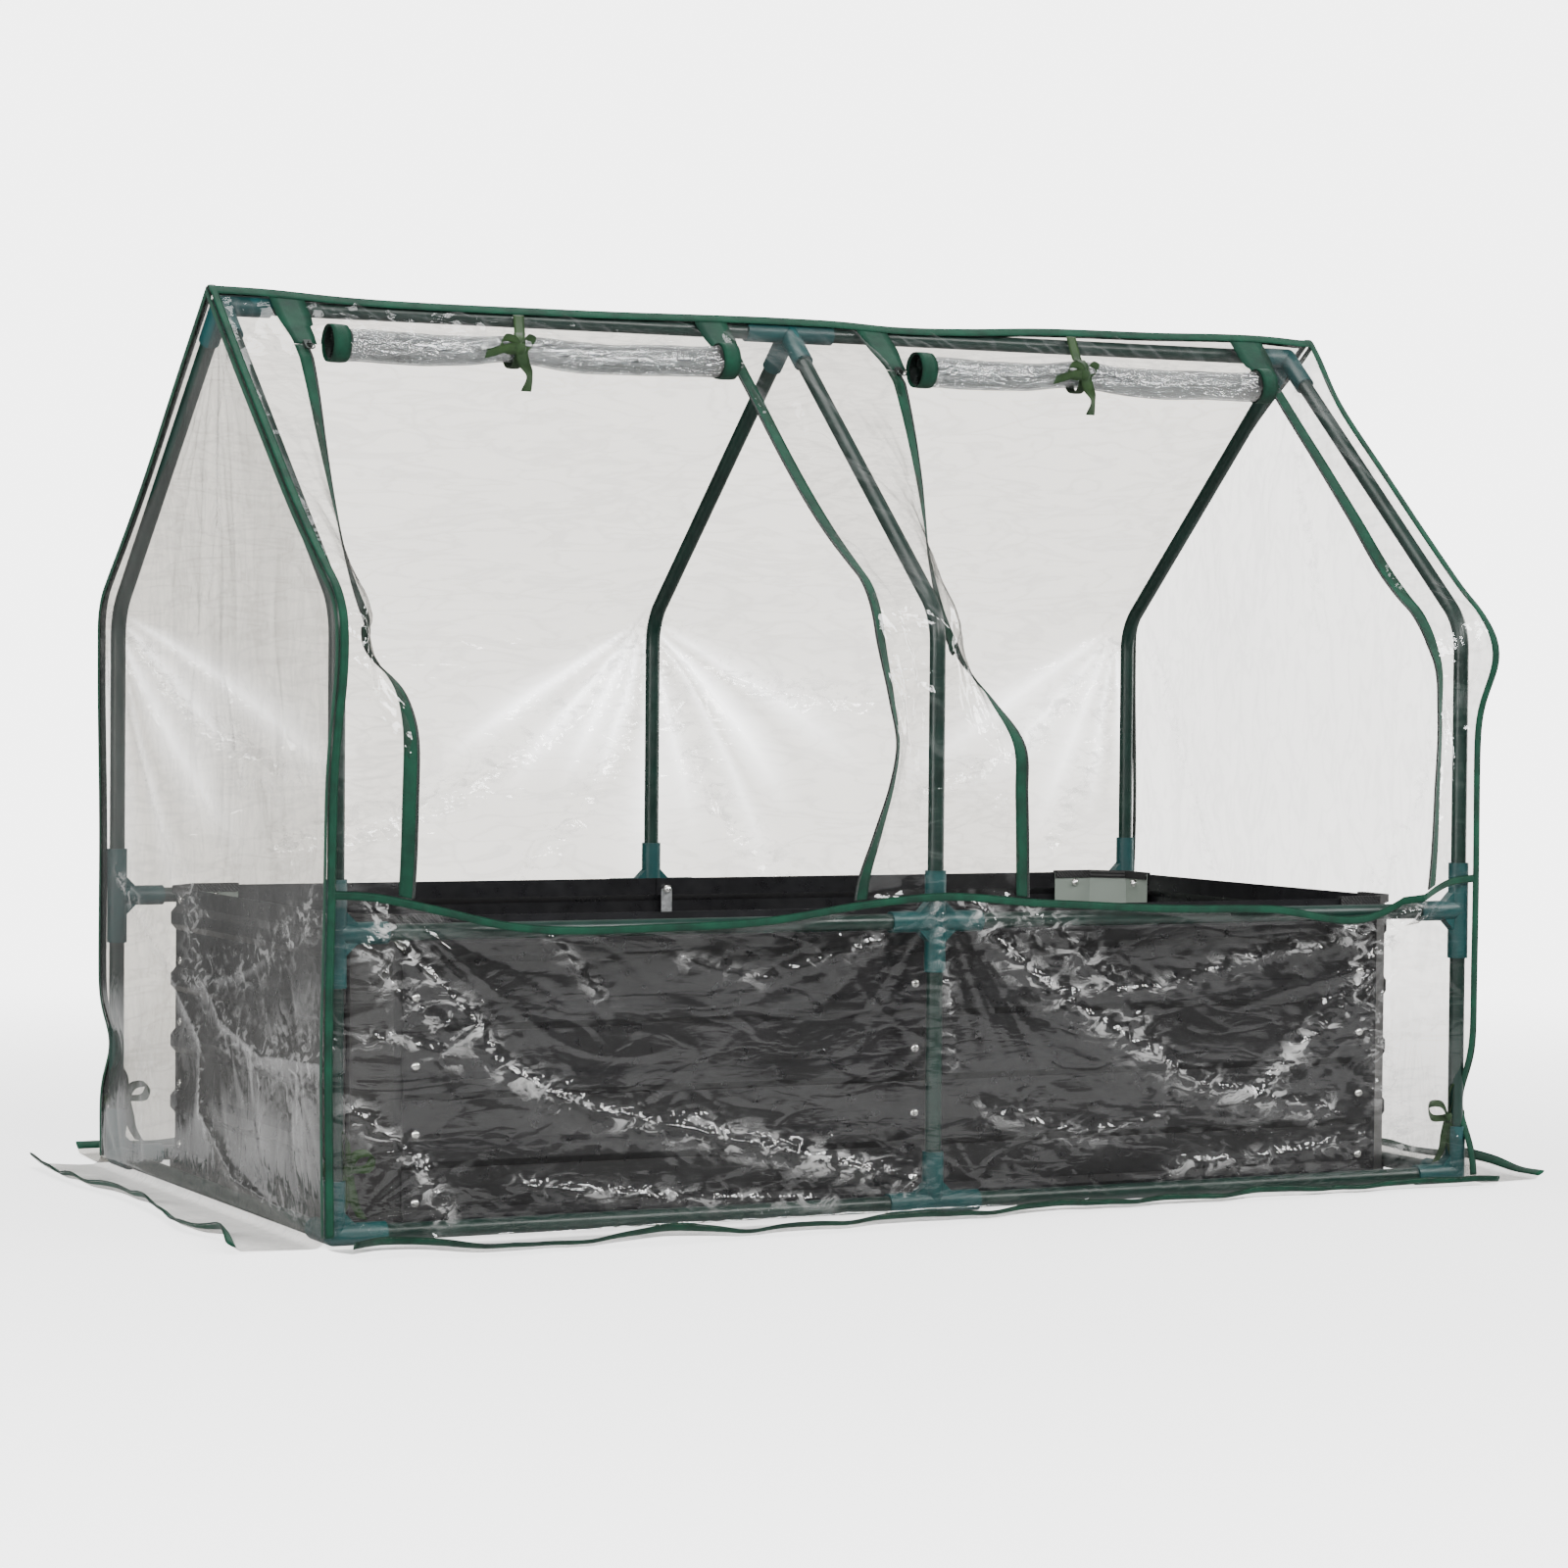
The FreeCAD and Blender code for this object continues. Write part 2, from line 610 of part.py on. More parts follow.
def joint_straps():
    straps = []
    for wall in ("front", "back"):
        strap = primitive(
            "Box", f"strap_{wall}",
            Length="strap_width", Width="strap_thickness", Height="bed_height - 2 * strap_base",
        )
        x, y, angle = wall_base(wall, "2 * layer", "-strap_width / 2")
        place(strap, (x, y, "strap_base"), angle=angle)
        straps.append(drilled(f"joint_strap_{wall}", strap, [(wall, "0")]))
    keep_group("joint_straps", straps)


def screw(name):
    """Make a pan-head screw along +Y: its head ends at y = 0 and its shank runs inward."""
    head = primitive(
        "Ellipsoid", name + "_head", Radius1="head_height", Radius2="head_diameter / 2",
    )
    head.Angle1 = 0
    place(head, axis=(1, 0, 0), angle="90 deg")
    shank = primitive("Cylinder", name + "_shank", Radius="shank_diameter / 2", Height="shank_length")
    place(shank, axis=(1, 0, 0), angle="-90 deg")
    recess = []
    slot_sizes = [("cross_length", "cross_width"), ("cross_width", "cross_length")]
    for index, (width, height) in enumerate(slot_sizes):
        slot = primitive("Box", f"{name}_slot_{index}", Length=width, Width="head_height", Height=height)
        base = (f"-({width}) / 2", "-1.5 * head_height", f"-({height}) / 2")
        recess.append(place(slot, base))
    return cut(name, fuse(name + "_solid", [head, shank]), fuse(name + "_recess", recess))


def cap_nut(name):
    """Make a domed nut along +Y: its flat face is at y = 0 and its dome points inward."""
    barrel = primitive("Cylinder", name + "_barrel", Radius="head_diameter / 2", Height="nut_skirt")
    place(barrel, axis=(1, 0, 0), angle="-90 deg")
    dome = primitive("Ellipsoid", name + "_dome", Radius1="nut_dome", Radius2="head_diameter / 2")
    dome.Angle1 = 0
    place(dome, ("0", "nut_skirt", "0"), (1, 0, 0), "-90 deg")
    bore = primitive("Cylinder", name + "_bore", Radius="hole_diameter / 2", Height="nut_bore")
    place(bore, axis=(1, 0, 0), angle="-90 deg")
    return cut(name, fuse(name + "_solid", [barrel, dome]), bore)


def bed_fasteners():
    """Set a screw and a cap nut at every hole."""
    master_screw = screw("screw")
    master_nut = cap_nut("cap_nut")
    screws, nuts = [], []
    for column, (wall, along, sheets_outside) in enumerate(screw_columns()):
        plate = "strap_thickness" if along == "0" else "corner_thickness"
        seats = (
            ("screw", master_screw, screws, f"layer * ({sheets_outside}) - sheet_gap"),
            ("nut", master_nut, nuts, f"2 * layer + {plate} + sheet_gap"),
        )
        for kind, master, members, inset in seats:
            x, y, angle = wall_base(wall, inset, along)
            for index in range(SCREW_ROWS):
                link = doc.addObject("App::Link", f"{kind}_{column}_{index}")
                link.LinkedObject = master
                members.append(place(link, (x, y, f"screw_height + {index} * rib_pitch"), angle=angle))
    keep_group("bed_screws", screws)
    keep_group("bed_cap_nuts", nuts)


# Film cover. Its solids are drawn across the house, as outlines in the YZ plane.
# "Out" is the distance from the film's inner face.

def roof_height(across, out):
    """Height of the roof at a level distance from the ridge."""
    return f"(film_ridge + ({out}) / cos(roof_pitch) - ({across}) * tan(roof_pitch))"


def roof_plate(y_side, start, end, inner, outer):
    """Outline a plate on one roof slope between two level distances from the ridge."""
    def corner(across, out):
        reach = f"film_y + ({out})" if across == "eave" else across
        return f"{y_side} * ({reach})", roof_height(reach, out)
    return [corner(start, inner), corner(end, inner), corner(end, outer), corner(start, outer)]


def wall_plate(y_side, low, high, inner, outer):
    """Outline a plate on the front or back wall between two heights."""
    def corner(height, out):
        reach = f"film_y + ({out})"
        return f"{y_side} * ({reach})", roof_height(reach, out) if height == "eave" else height
    return [corner(low, inner), corner(high, inner), corner(high, outer), corner(low, outer)]


def floor_plate(y_start, y_end, thickness):
    return [(y_start, "0"), (y_end, "0"), (y_end, thickness), (y_start, thickness)]


FILM = ("0", "film_thickness")
TRIM = ("trim_inner", "trim_outer")


def cover_ends():
    """Make the house-shaped ends, each with its skirt on the floor."""
    outline = [
        ("trim_gap - film_y", "0"),
        ("trim_gap - film_y", roof_height("film_y", "-trim_gap")),
        ("0", roof_height("0", "-trim_gap")),
        ("film_y - trim_gap", roof_height("film_y", "-trim_gap")),
        ("film_y - trim_gap", "0"),
    ]
    for x_side, x_name in SIDE_NAMES["x"].items():
        name = f"cover_film_{x_name}_end"
        wall = strip(name + "_wall", outline, *spread(x_side, "film_x", "film_x + film_thickness"))
        skirt_outline = floor_plate("-film_y", "film_y", "film_thickness")
        skirt_ends = spread(x_side, "film_x + trim_inner", "skirt_x - trim_width - trim_gap")
        keep_group(name, [wall, strip(name + "_skirt", skirt_outline, *skirt_ends)])


def spread(x_side, near, far):
    """Order two distances from the middle as a start and an end along X."""
    ends = (near, far) if x_side == RIGHT else (far, near)
    return [f"{x_side} * ({end})" for end in ends]


def cover_walls():
    """Make the back, and the low strip of the front, each with its skirt."""
    whole = ("-film_x - film_thickness", "film_x + film_thickness")
    skirt_ends = ("-film_x", "film_x")
    back = [
        strip("back_slope", roof_plate(BACK, "0", "eave", *FILM), *whole),
        strip("back_wall", wall_plate(BACK, "0", "eave", *FILM), *whole),
    ]
    front = [strip("front_wall", wall_plate(FRONT, "0", "waist_seam - trim_gap", *FILM), *whole)]
    for y_side, members in ((BACK, back), (FRONT, front)):
        near = f"{y_side} * (film_y + trim_outer + trim_gap)"
        far = f"{y_side} * (skirt_y - trim_width - trim_gap)"
        outline = floor_plate(near, far, "film_thickness")
        members.append(strip(f"skirt_{SIDE_NAMES['y'][y_side]}", outline, *skirt_ends))
    keep_group("cover_film_back", back)
    keep_group("cover_film_front_lower", front)


def cover_flaps():
    """Make the strips of film beside, between and above the doors."""
    ends = {
        "left": ("-film_x - film_thickness", "-door_outer"),
        "middle": ("-door_inner", "door_inner"),
        "right": ("door_outer", "film_x + film_thickness"),
    }
    for place_name, (start, end) in ends.items():
        name = "cover_flap_" + place_name
        slope = strip(name + "_slope", roof_plate(FRONT, "trim_gap", "eave", *FILM), start, end)
        wall = strip(name + "_wall", wall_plate(FRONT, "waist_seam", "eave", *FILM), start, end)
        keep_group(name, [slope, wall])
    tops = []
    for x_side, x_name in SIDE_NAMES["x"].items():
        outline = roof_plate(FRONT, "trim_gap", "door_drop", *FILM)
        edges = spread(x_side, "door_inner + trim_gap", "door_outer - trim_gap")
        tops.append(strip("front_top_" + x_name, outline, *edges))
    keep_group("cover_film_front_top", tops)


def end_trim_outlines():
    """Outline the binding on the face of an end, as four mitred bands."""
    def wall_band(y_side):
        near, far = f"{y_side} * film_y", f"{y_side} * (film_y - trim_width)"
        return [
            (near, "trim_base"),
            (near, roof_height("film_y", "0")),
            (far, roof_height("film_y - trim_width", "-trim_width")),
            (far, "trim_base"),
        ]

    def roof_band(y_side):
        return [
            (f"{y_side} * film_y", roof_height("film_y", "0")),
            ("0", roof_height("0", "0")),
            ("0", roof_height("0", "-trim_width")),
            (f"{y_side} * (film_y - trim_width)", roof_height("film_y - trim_width", "-trim_width")),
        ]
    return [wall_band(FRONT), wall_band(BACK), roof_band(FRONT), roof_band(BACK)]


def cover_binding():
    inside = "film_x - trim_width - trim_gap"
    run = (f"-({inside})", inside)
    ridge = [strip(f"ridge_trim_{name}", roof_plate(side, "0", "ridge_trim", *TRIM), *run)
             for side, name in SIDE_NAMES["y"].items()]
    keep_group("binding_ridge", ridge)
    keep("binding_waist", strip("waist", wall_plate(FRONT, "waist_base", "waist_height", *TRIM), *run))
    for x_side, x_name in SIDE_NAMES["x"].items():
        face_ends = spread(x_side, "film_x + trim_inner", "film_x + trim_outer")
        side_ends = spread(x_side, "film_x - trim_width", "film_x + trim_outer")
        pieces = [strip(f"end_trim_{x_name}_{index}", outline, *face_ends)
                  for index, outline in enumerate(end_trim_outlines())]
        for y_side, y_name in SIDE_NAMES["y"].items():
            slope = roof_plate(y_side, "0", "eave", *TRIM)
            pieces.append(strip(f"side_trim_{x_name}_{y_name}_roof", slope, *side_ends))
            wall = wall_plate(y_side, "trim_base", "eave", *TRIM)
            pieces.append(strip(f"side_trim_{x_name}_{y_name}_wall", wall, *side_ends))
        keep_group(f"binding_{x_name}_end", pieces)
    hems = []
    for y_side, y_name in SIDE_NAMES["y"].items():
        outline = floor_plate(f"{y_side} * (skirt_y - trim_width)", f"{y_side} * skirt_y", "trim_thickness")
        hems.append(strip("hem_" + y_name, outline, "-film_x", "film_x"))
    for x_side, x_name in SIDE_NAMES["x"].items():
        outline = floor_plate("-film_y", "film_y", "trim_thickness")
        hems.append(strip("hem_" + x_name, outline, *spread(x_side, "skirt_x - trim_width", "skirt_x")))
    keep_group("binding_hem", hems)


def zips():
    """Make the zip halves on the flaps, and the fabric tabs above them."""
    tabs = []
    for x_side, x_name in SIDE_NAMES["x"].items():
        tapes = []
        edges = {
            "inner": ("door_inner - tape_width + tape_overhang", "door_inner + tape_overhang"),
            "outer": ("door_outer - tape_overhang", "door_outer + tape_width - tape_overhang"),
        }
        for edge, (near, far) in edges.items():
            ends = spread(x_side, near, far)
            ending = f"{x_name}_{edge}"
            start = "door_drop + trim_gap"
            tapes.append(strip("tape_slope_" + ending, roof_plate(FRONT, start, "eave", *TRIM), *ends))
            low = "waist_height + trim_gap"
            tapes.append(strip("tape_wall_" + ending, wall_plate(FRONT, low, "eave", *TRIM), *ends))
            middle = "door_" + edge
            tab_ends = spread(x_side, f"{middle} - tab_width / 2", f"{middle} + tab_width / 2")
            outline = roof_plate(FRONT, "ridge_trim + trim_gap", "door_drop", *TRIM)
            tabs.append(strip("tab_" + ending, outline, *tab_ends))
        keep_group(f"zipper_tapes_{x_name}_door", tapes)
    keep_group("zip_top_tabs", tabs)


# Ribbons, rolled doors and zip sliders.

def ribbon_tie(name, ring_radius, tail_size, tail_bases):
    """Make a ribbon round an upright axis, with its knot and two loose ends on the -Y side."""
    outer_radius = f"{ring_radius} + ribbon_thickness"
    outer = primitive("Cylinder", name + "_outer", Radius=outer_radius, Height="ribbon_width")
    inner = primitive("Cylinder", name + "_inner", Radius=ring_radius, Height="ribbon_width")
    knot = primitive(
        "Box", name + "_knot", Length="ribbon_width", Width="5 * ribbon_thickness", Height="ribbon_width",
    )
    place(knot, ("-ribbon_width / 2", f"-({ring_radius}) - 5.5 * ribbon_thickness", "0"))
    members = [outer, knot]
    for index, (x, z) in enumerate(tail_bases):
        tail = primitive(
            "Box", f"{name}_tail_{index}",
            Length=tail_size[0], Width="ribbon_thickness", Height=tail_size[1],
        )
        members.append(place(tail, (x, f"-({ring_radius}) - 5 * ribbon_thickness", z)))
    return cut(name, fuse(name + "_solid", members), inner)


def corner_ties():
    """Tie a ribbon round each corner post, its knot facing into the frame."""
    ties = []
    tail_size = ("0.8 * ribbon_width", "ribbon_tail + ribbon_width / 2")
    tail_bases = [("-0.9 * ribbon_width", "-ribbon_tail"), ("0.1 * ribbon_width", "-ribbon_tail")]
    for x_side, x_name in SIDE_NAMES["x"].items():
        for y_side, y_name in SIDE_NAMES["y"].items():
            name = f"corner_tie_{y_name}_{x_name}"
            tie = ribbon_tie(name, "(tube_diameter / 2 + 2 * trim_gap)", tail_size, tail_bases)
            base = (f"{x_side} * post_x", f"{y_side} * post_y", "tie_height")
            turn = f"90 deg * (1 - ({y_side})) - 45 deg * ({x_side}) * ({y_side})"
            ties.append(place(tie, base, angle=turn))
    keep_group("corner_ties", ties)


def door_rolls():
    """Make each rolled door and the ribbon that holds it."""
    axis_y = "-door_drop - roll_offset"
    start, end = "door_inner + roll_inset", "door_outer - roll_clearance"
    for x_side, x_name in SIDE_NAMES["x"].items():
        near = spread(x_side, start, end)[0]
        name = "door_roll_" + x_name
        radii = ["roll_radius", "roll_radius - roll_wall"]
        roll = padded_body(name, "XY_Plane", draw_ring, radii, f"{end} - ({start})")
        keep(name, place(roll, (near, axis_y, "roll_height"), **ALONG_X))
        name = "roll_tie_" + x_name
        # Turned along X with the roll, the local +X points down.
        tail_size = ("ribbon_tail + ribbon_width / 2", "0.8 * ribbon_width")
        tail_bases = [("0", "-0.7 * ribbon_width"), ("0", "0.9 * ribbon_width")]
        tie = ribbon_tie(name, "(roll_radius + 3 * trim_gap)", tail_size, tail_bases)
        middle = f"{x_side} * (({start}) + ({end})) / 2 - roll_tie_offset - ribbon_width / 2"
        keep(name, place(tie, (middle, axis_y, "roll_height"), **ALONG_X))


# Where a pull's ring passes through its slider's loop: down the roof, and out from it.
RING_CENTRE = ("bridge_length / 2 - slider_length", "slider_height + bridge_height / 2")


def slider(name, x):
    """Make a zip slider on the roof, with a loop at its lower end.

    Before its turn, down the roof is -Y.
    """
    block = primitive(
        "Box", name + "_block", Length="slider_width", Width="slider_length", Height="slider_height",
    )
    place(block, ("-slider_width / 2", "-slider_length", "0"))
    block_round = doc.addObject("Part::Fillet", name + "_rounded")
    block_round.Base = block
    radius = amount("slider_round")
    block_round.Edges = [(edge, radius, radius) for edge in (1, 3, 5, 7)]
    bridge = primitive(
        "Box", name + "_bridge", Length="bridge_width", Width="bridge_length", Height="bridge_height",
    )
    place(bridge, ("-bridge_width / 2", "-slider_length", "slider_height"))
    bore = primitive("Cylinder", name + "_bore", Radius="bridge_bore / 2", Height="2 * bridge_width")
    place(bore, ("-bridge_width", *RING_CENTRE), **ALONG_X)
    solid = fuse(name + "_solid", [block_round, bridge])
    return place(cut(name, solid, bore), *slider_place(x))


def slider_place(x):
    """Seat a slider, or its pull, on the zip just below the tab."""
    across = "door_drop + slider_drop"
    return (x, f"-({across})", roof_height(across, "slider_seat")), (1, 0, 0), "roof_pitch"


def pull_ring(name, x):
    """Make the ring in a slider's loop, laid down the zip."""
    ring = primitive("Torus", name + "_ring", Radius1="pull_radius", Radius2="pull_wire / 2")
    down, out = RING_CENTRE
    place(ring, ("0", f"{down} - pull_radius", out))
    return place(group(name, [ring]), *slider_place(x))


def zip_sliders():
    number = 0
    for x_side in (LEFT, RIGHT):
        for distance in ("door_outer", "door_inner"):
            number += 1
            x = f"{x_side} * {distance}"
            keep(f"zipper_slider_{number}", slider(f"slider_{number}", x))
            keep(f"zipper_pull_{number}", pull_ring(f"pull_{number}", x))


def check(item):
    """Stop if a sub-part failed, or if it holds anything but good solids."""
    if "Invalid" in item.State or "Error" in item.State:
        raise RuntimeError(f"{item.Label} failed: {item.State}")
    if item.Shape.isNull() or not item.Shape.isValid() or not item.Shape.Solids:
        raise RuntimeError(f"{item.Label} has no valid solid")


frame_tubes()
frame_sockets()
bed_panels()
bed_corners()
joint_straps()
bed_fasteners()
cover_ends()
cover_walls()
cover_flaps()
cover_binding()
zips()
corner_ties()
door_rolls()
zip_sliders()
doc.recompute()

for subpart in subparts:
    check(subpart)

os.makedirs("parts", exist_ok=True)
for subpart in subparts:
    subpart.Shape.exportStep(f"parts/{subpart.Label}.step")
print(f"{len(subparts)} sub-parts")
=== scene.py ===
import json
import math

import bpy
import numpy as np
from mathutils import Matrix, Vector


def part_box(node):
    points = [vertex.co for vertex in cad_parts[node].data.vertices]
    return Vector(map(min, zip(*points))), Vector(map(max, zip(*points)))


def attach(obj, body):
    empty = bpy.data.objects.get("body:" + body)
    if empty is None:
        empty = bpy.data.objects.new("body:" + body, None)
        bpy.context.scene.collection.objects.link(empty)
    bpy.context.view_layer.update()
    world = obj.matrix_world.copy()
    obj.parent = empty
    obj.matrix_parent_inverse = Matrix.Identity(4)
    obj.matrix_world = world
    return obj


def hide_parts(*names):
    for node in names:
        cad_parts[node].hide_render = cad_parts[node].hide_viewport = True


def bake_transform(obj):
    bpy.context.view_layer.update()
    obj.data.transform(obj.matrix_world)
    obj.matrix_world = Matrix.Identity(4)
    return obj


# A raised bed of black steel panels under a small tent of clear film on green tubes.

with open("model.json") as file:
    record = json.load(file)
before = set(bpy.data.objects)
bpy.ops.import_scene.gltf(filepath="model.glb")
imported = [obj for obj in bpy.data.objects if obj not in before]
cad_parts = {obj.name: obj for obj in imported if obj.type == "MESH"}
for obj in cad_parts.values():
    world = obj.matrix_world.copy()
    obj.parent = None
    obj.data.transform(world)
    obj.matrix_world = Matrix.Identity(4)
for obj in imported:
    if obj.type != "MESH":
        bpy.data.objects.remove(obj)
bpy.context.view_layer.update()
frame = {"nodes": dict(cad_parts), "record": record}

# Main planes and lines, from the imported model, in metres.
FILM = 0.0004
TUBE_RADIUS = 0.008
POST_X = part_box("lower_posts")[1].x - TUBE_RADIUS
POST_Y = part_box("lower_posts")[1].y - TUBE_RADIUS
RIDGE_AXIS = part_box("ridge_tubes")[1].z - TUBE_RADIUS
END_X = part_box("cover_flap_right")[1].x - FILM       # inner face of the film on the ends
WALL_Y = -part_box("cover_flap_right")[0].y - FILM     # inner face on the front and back
DOOR_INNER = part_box("cover_flap_middle")[1].x
DOOR_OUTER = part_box("cover_flap_right")[0].x
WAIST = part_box("binding_waist")[1].z
TRIM = 0.008                                         # width of the binding on the waist and the ends
RIDGE_TRIM = 0.013
HEM_TRIM = 0.009
TIE_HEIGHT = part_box("corner_ties")[1].z - 0.006
ROOF_RISE, ROOF_RUN = 0.301, 0.340
PITCH = math.atan2(ROOF_RISE, ROOF_RUN)
COS, SIN = math.cos(PITCH), math.sin(PITCH)
RIDGE = RIDGE_AXIS + (END_X - POST_X) / COS
EAVE = RIDGE - WALL_Y * math.tan(PITCH)
BEND = 0.060                                         # radius of the film round a tube's bend
FOOT = 0.010                                         # radius where the film turns out on the floor
SKIRT = 0.080
BEND_RUN = BEND * math.tan((math.pi / 2 - PITCH) / 2)
BEND_ARC = BEND * (math.pi / 2 - PITCH)

# Distances down the cover from the ridge.
SLOPE_END = WALL_Y / COS - BEND_RUN
WALL_START = SLOPE_END + BEND_ARC
FOOT_START = WALL_START + EAVE - BEND_RUN - FOOT
FOOT_END = FOOT_START + FOOT * math.pi / 2
HEM = FOOT_END + SKIRT
DOOR_TOP = 0.088

ALONG_FRONT = np.linspace(-END_X, END_X, 240)
BED_FRONT = -0.3105         # the lower film stays in front of this plane, clear of the bed

FRONT, BACK = -1, 1
LEFT, RIGHT = -1, 1
SIDE_NAMES = {LEFT: "left", RIGHT: "right"}

# Marks stored at each vertex of a film.
GATHERED = "gathered"      # how tightly it is crumpled, which sets how strong the painted highlight shards are
PAINTED_STREAKS = "painted_streaks"    # how much a painted highlight streak lifts what shows through towards white

# The front's four flaps: the line each hangs from, its free edge, and how far that edge turns in
# (degrees) at places down the cover.
FLAPS = [
    (-POST_X, -DOOR_OUTER, [(0.11, 0), (0.21, 24), (0.34, 44), (0.47, 56), (0.52, 54), (0.555, 20),
                            (0.585, 0), (0.8, 0)]),
    (0.0, -DOOR_INNER, [(0.11, 0), (0.40, -6), (0.48, -15), (0.56, -29), (0.60, -34), (0.64, -30),
                        (0.69, -18), (0.75, 0), (0.8, 0)]),
    (0.0, DOOR_INNER, [(0.11, 0), (0.21, 22), (0.33, 46), (0.43, 57), (0.51, 54), (0.56, 28), (0.605, 2),
                       (0.65, 0), (0.8, 0)]),
    (POST_X, DOOR_OUTER, [(0.11, 0), (0.30, 7), (0.40, 12), (0.47, 0), (0.52, -22), (0.57, -27),
                          (0.66, -23), (0.74, -18), (0.8, -12)]),
]

# How far the waist binding stands above or below its level line, along the front.
WAIST_RISE = [
    (-0.64, 0.016), (-0.60, 0.014), (-0.54, 0.003), (-0.46, -0.014), (-0.28, -0.017), (-0.17, -0.012),
    (-0.09, -0.002), (0, 0.006), (0.11, -0.004), (0.38, -0.014), (0.51, -0.021), (0.56, 0.0),
    (0.60, 0.012), (0.64, 0.015),
]

# How far the ridge's seam sags between the sockets.
RIDGE_SAG = [
    (-0.64, 0), (-0.58, 0.001), (-0.50, 0.005), (-0.25, 0.007), (0.0, 0.004), (0.06, 0.0045),
    (0.12, 0.007), (0.22, 0.005), (0.30, 0.001), (0.45, -0.002), (0.60, -0.003), (0.64, 0),
]

# How wide the skirt lies along the front and along the left end.
FRONT_SKIRT = [
    (-0.64, 0.076), (-0.58, 0.064), (-0.55, 0.090), (-0.45, 0.084), (-0.31, 0.078), (-0.175, 0.071),
    (-0.06, 0.067), (0.09, 0.045), (0.34, 0.036), (0.475, 0.024), (0.56, 0.020), (0.64, 0.034),
]
LEFT_SKIRT = [
    (-0.354, 0.083), (-0.30, 0.072), (-0.25, 0.064), (-0.21, 0.075), (-0.10, 0.068), (0.054, 0.060),
    (0.186, 0.070), (0.354, 0.067),
]

# Places where the loose cover stands out or sinks in: centre, size, shift.
EARS = [
    ((END_X, 0.0, RIDGE), (0.06, 0.10, 0.07), (0.018, 0.0, 0.003)),
    ((-END_X, -WALL_Y, 0.545), (0.10, 0.12, 0.085), (0.002, -0.020, 0.0)),
    ((END_X, -WALL_Y, 0.555), (0.05, 0.06, 0.045), (0.010, -0.016, 0.0)),
    ((END_X, -WALL_Y, 0.085), (0.05, 0.06, 0.040), (-0.008, 0.014, 0.0)),
    ((-END_X, WALL_Y, 0.62), (0.05, 0.08, 0.045), (-0.006, -0.016, 0.0)),
    ((-END_X, WALL_Y, 0.13), (0.05, 0.08, 0.035), (0.010, -0.004, 0.0)),
]

# Lines along which the film is gathered, as places on the wall: points, height of the fold, reach.
FRONT_CHAINS = [
    ([(-0.597, 0.32), (-0.576, 0.268), (-0.532, 0.24), (-0.498, 0.212), (-0.473, 0.174), (-0.434, 0.15),
      (-0.379, 0.122), (-0.277, 0.098), (-0.151, 0.064), (-0.033, 0.035)], 0.007, 0.016),
    ([(-0.611, 0.12), (-0.58, 0.101), (-0.546, 0.072), (-0.524, 0.026)], 0.006, 0.012),
    ([(-0.628, 0.175), (-0.566, 0.186), (-0.508, 0.171)], 0.004, 0.009),
    ([(0.032, 0.309), (0.075, 0.254), (0.131, 0.216), (0.202, 0.177), (0.304, 0.118), (0.453, 0.087)],
     0.006, 0.016),
    ([(-0.005, 0.304), (0.004, 0.231), (0.014, 0.147)], 0.003, 0.008),
    ([(0.541, 0.294), (0.505, 0.259), (0.466, 0.207), (0.407, 0.145), (0.364, 0.097)], 0.006, 0.015),
    ([(-0.42, 0.301), (-0.38, 0.259), (-0.359, 0.231)], 0.003, 0.008),
    ([(-0.278, 0.275), (-0.195, 0.25), (-0.068, 0.271)], 0.003, 0.009),
    ([(0.154, 0.218), (0.245, 0.225), (0.385, 0.262), (0.505, 0.29)], 0.004, 0.012),
    ([(0.496, 0.056), (0.388, 0.04), (0.271, 0.035)], 0.004, 0.010),
    ([(-0.45, 0.05), (-0.30, 0.03), (-0.12, 0.02)], 0.004, 0.009),
    ([(0.10, 0.30), (0.16, 0.255), (0.22, 0.20), (0.25, 0.15)], 0.004, 0.020),
    ([(0.48, 0.30), (0.50, 0.22), (0.52, 0.14), (0.55, 0.05)], 0.004, 0.018),
    ([(-0.60, 0.26), (-0.57, 0.22), (-0.51, 0.19)], 0.004, 0.014),
    ([(0.05, 0.10), (0.16, 0.07), (0.26, 0.085)], 0.003, 0.012),
]
BACK_CHAINS = [
    ([(0.0, 0.585), (-0.045, 0.535), (-0.12, 0.470), (-0.21, 0.410), (-0.33, 0.365), (-0.43, 0.345)],
     0.007, 0.022),
    ([(0.01, 0.585), (0.06, 0.550), (0.15, 0.515), (0.27, 0.500)], 0.007, 0.018),
    ([(0.005, 0.570), (-0.03, 0.46), (-0.09, 0.37), (-0.15, 0.30)], 0.005, 0.020),
    ([(0.005, 0.570), (0.035, 0.48), (0.09, 0.38), (0.17, 0.30)], 0.005, 0.026),
    ([(0.62, 0.585), (0.57, 0.52), (0.48, 0.45), (0.36, 0.40)], 0.006, 0.020),
    ([(0.62, 0.570), (0.59, 0.45), (0.53, 0.34)], 0.005, 0.020),
    ([(-0.62, 0.585), (-0.55, 0.50), (-0.45, 0.43)], 0.005, 0.018),
]
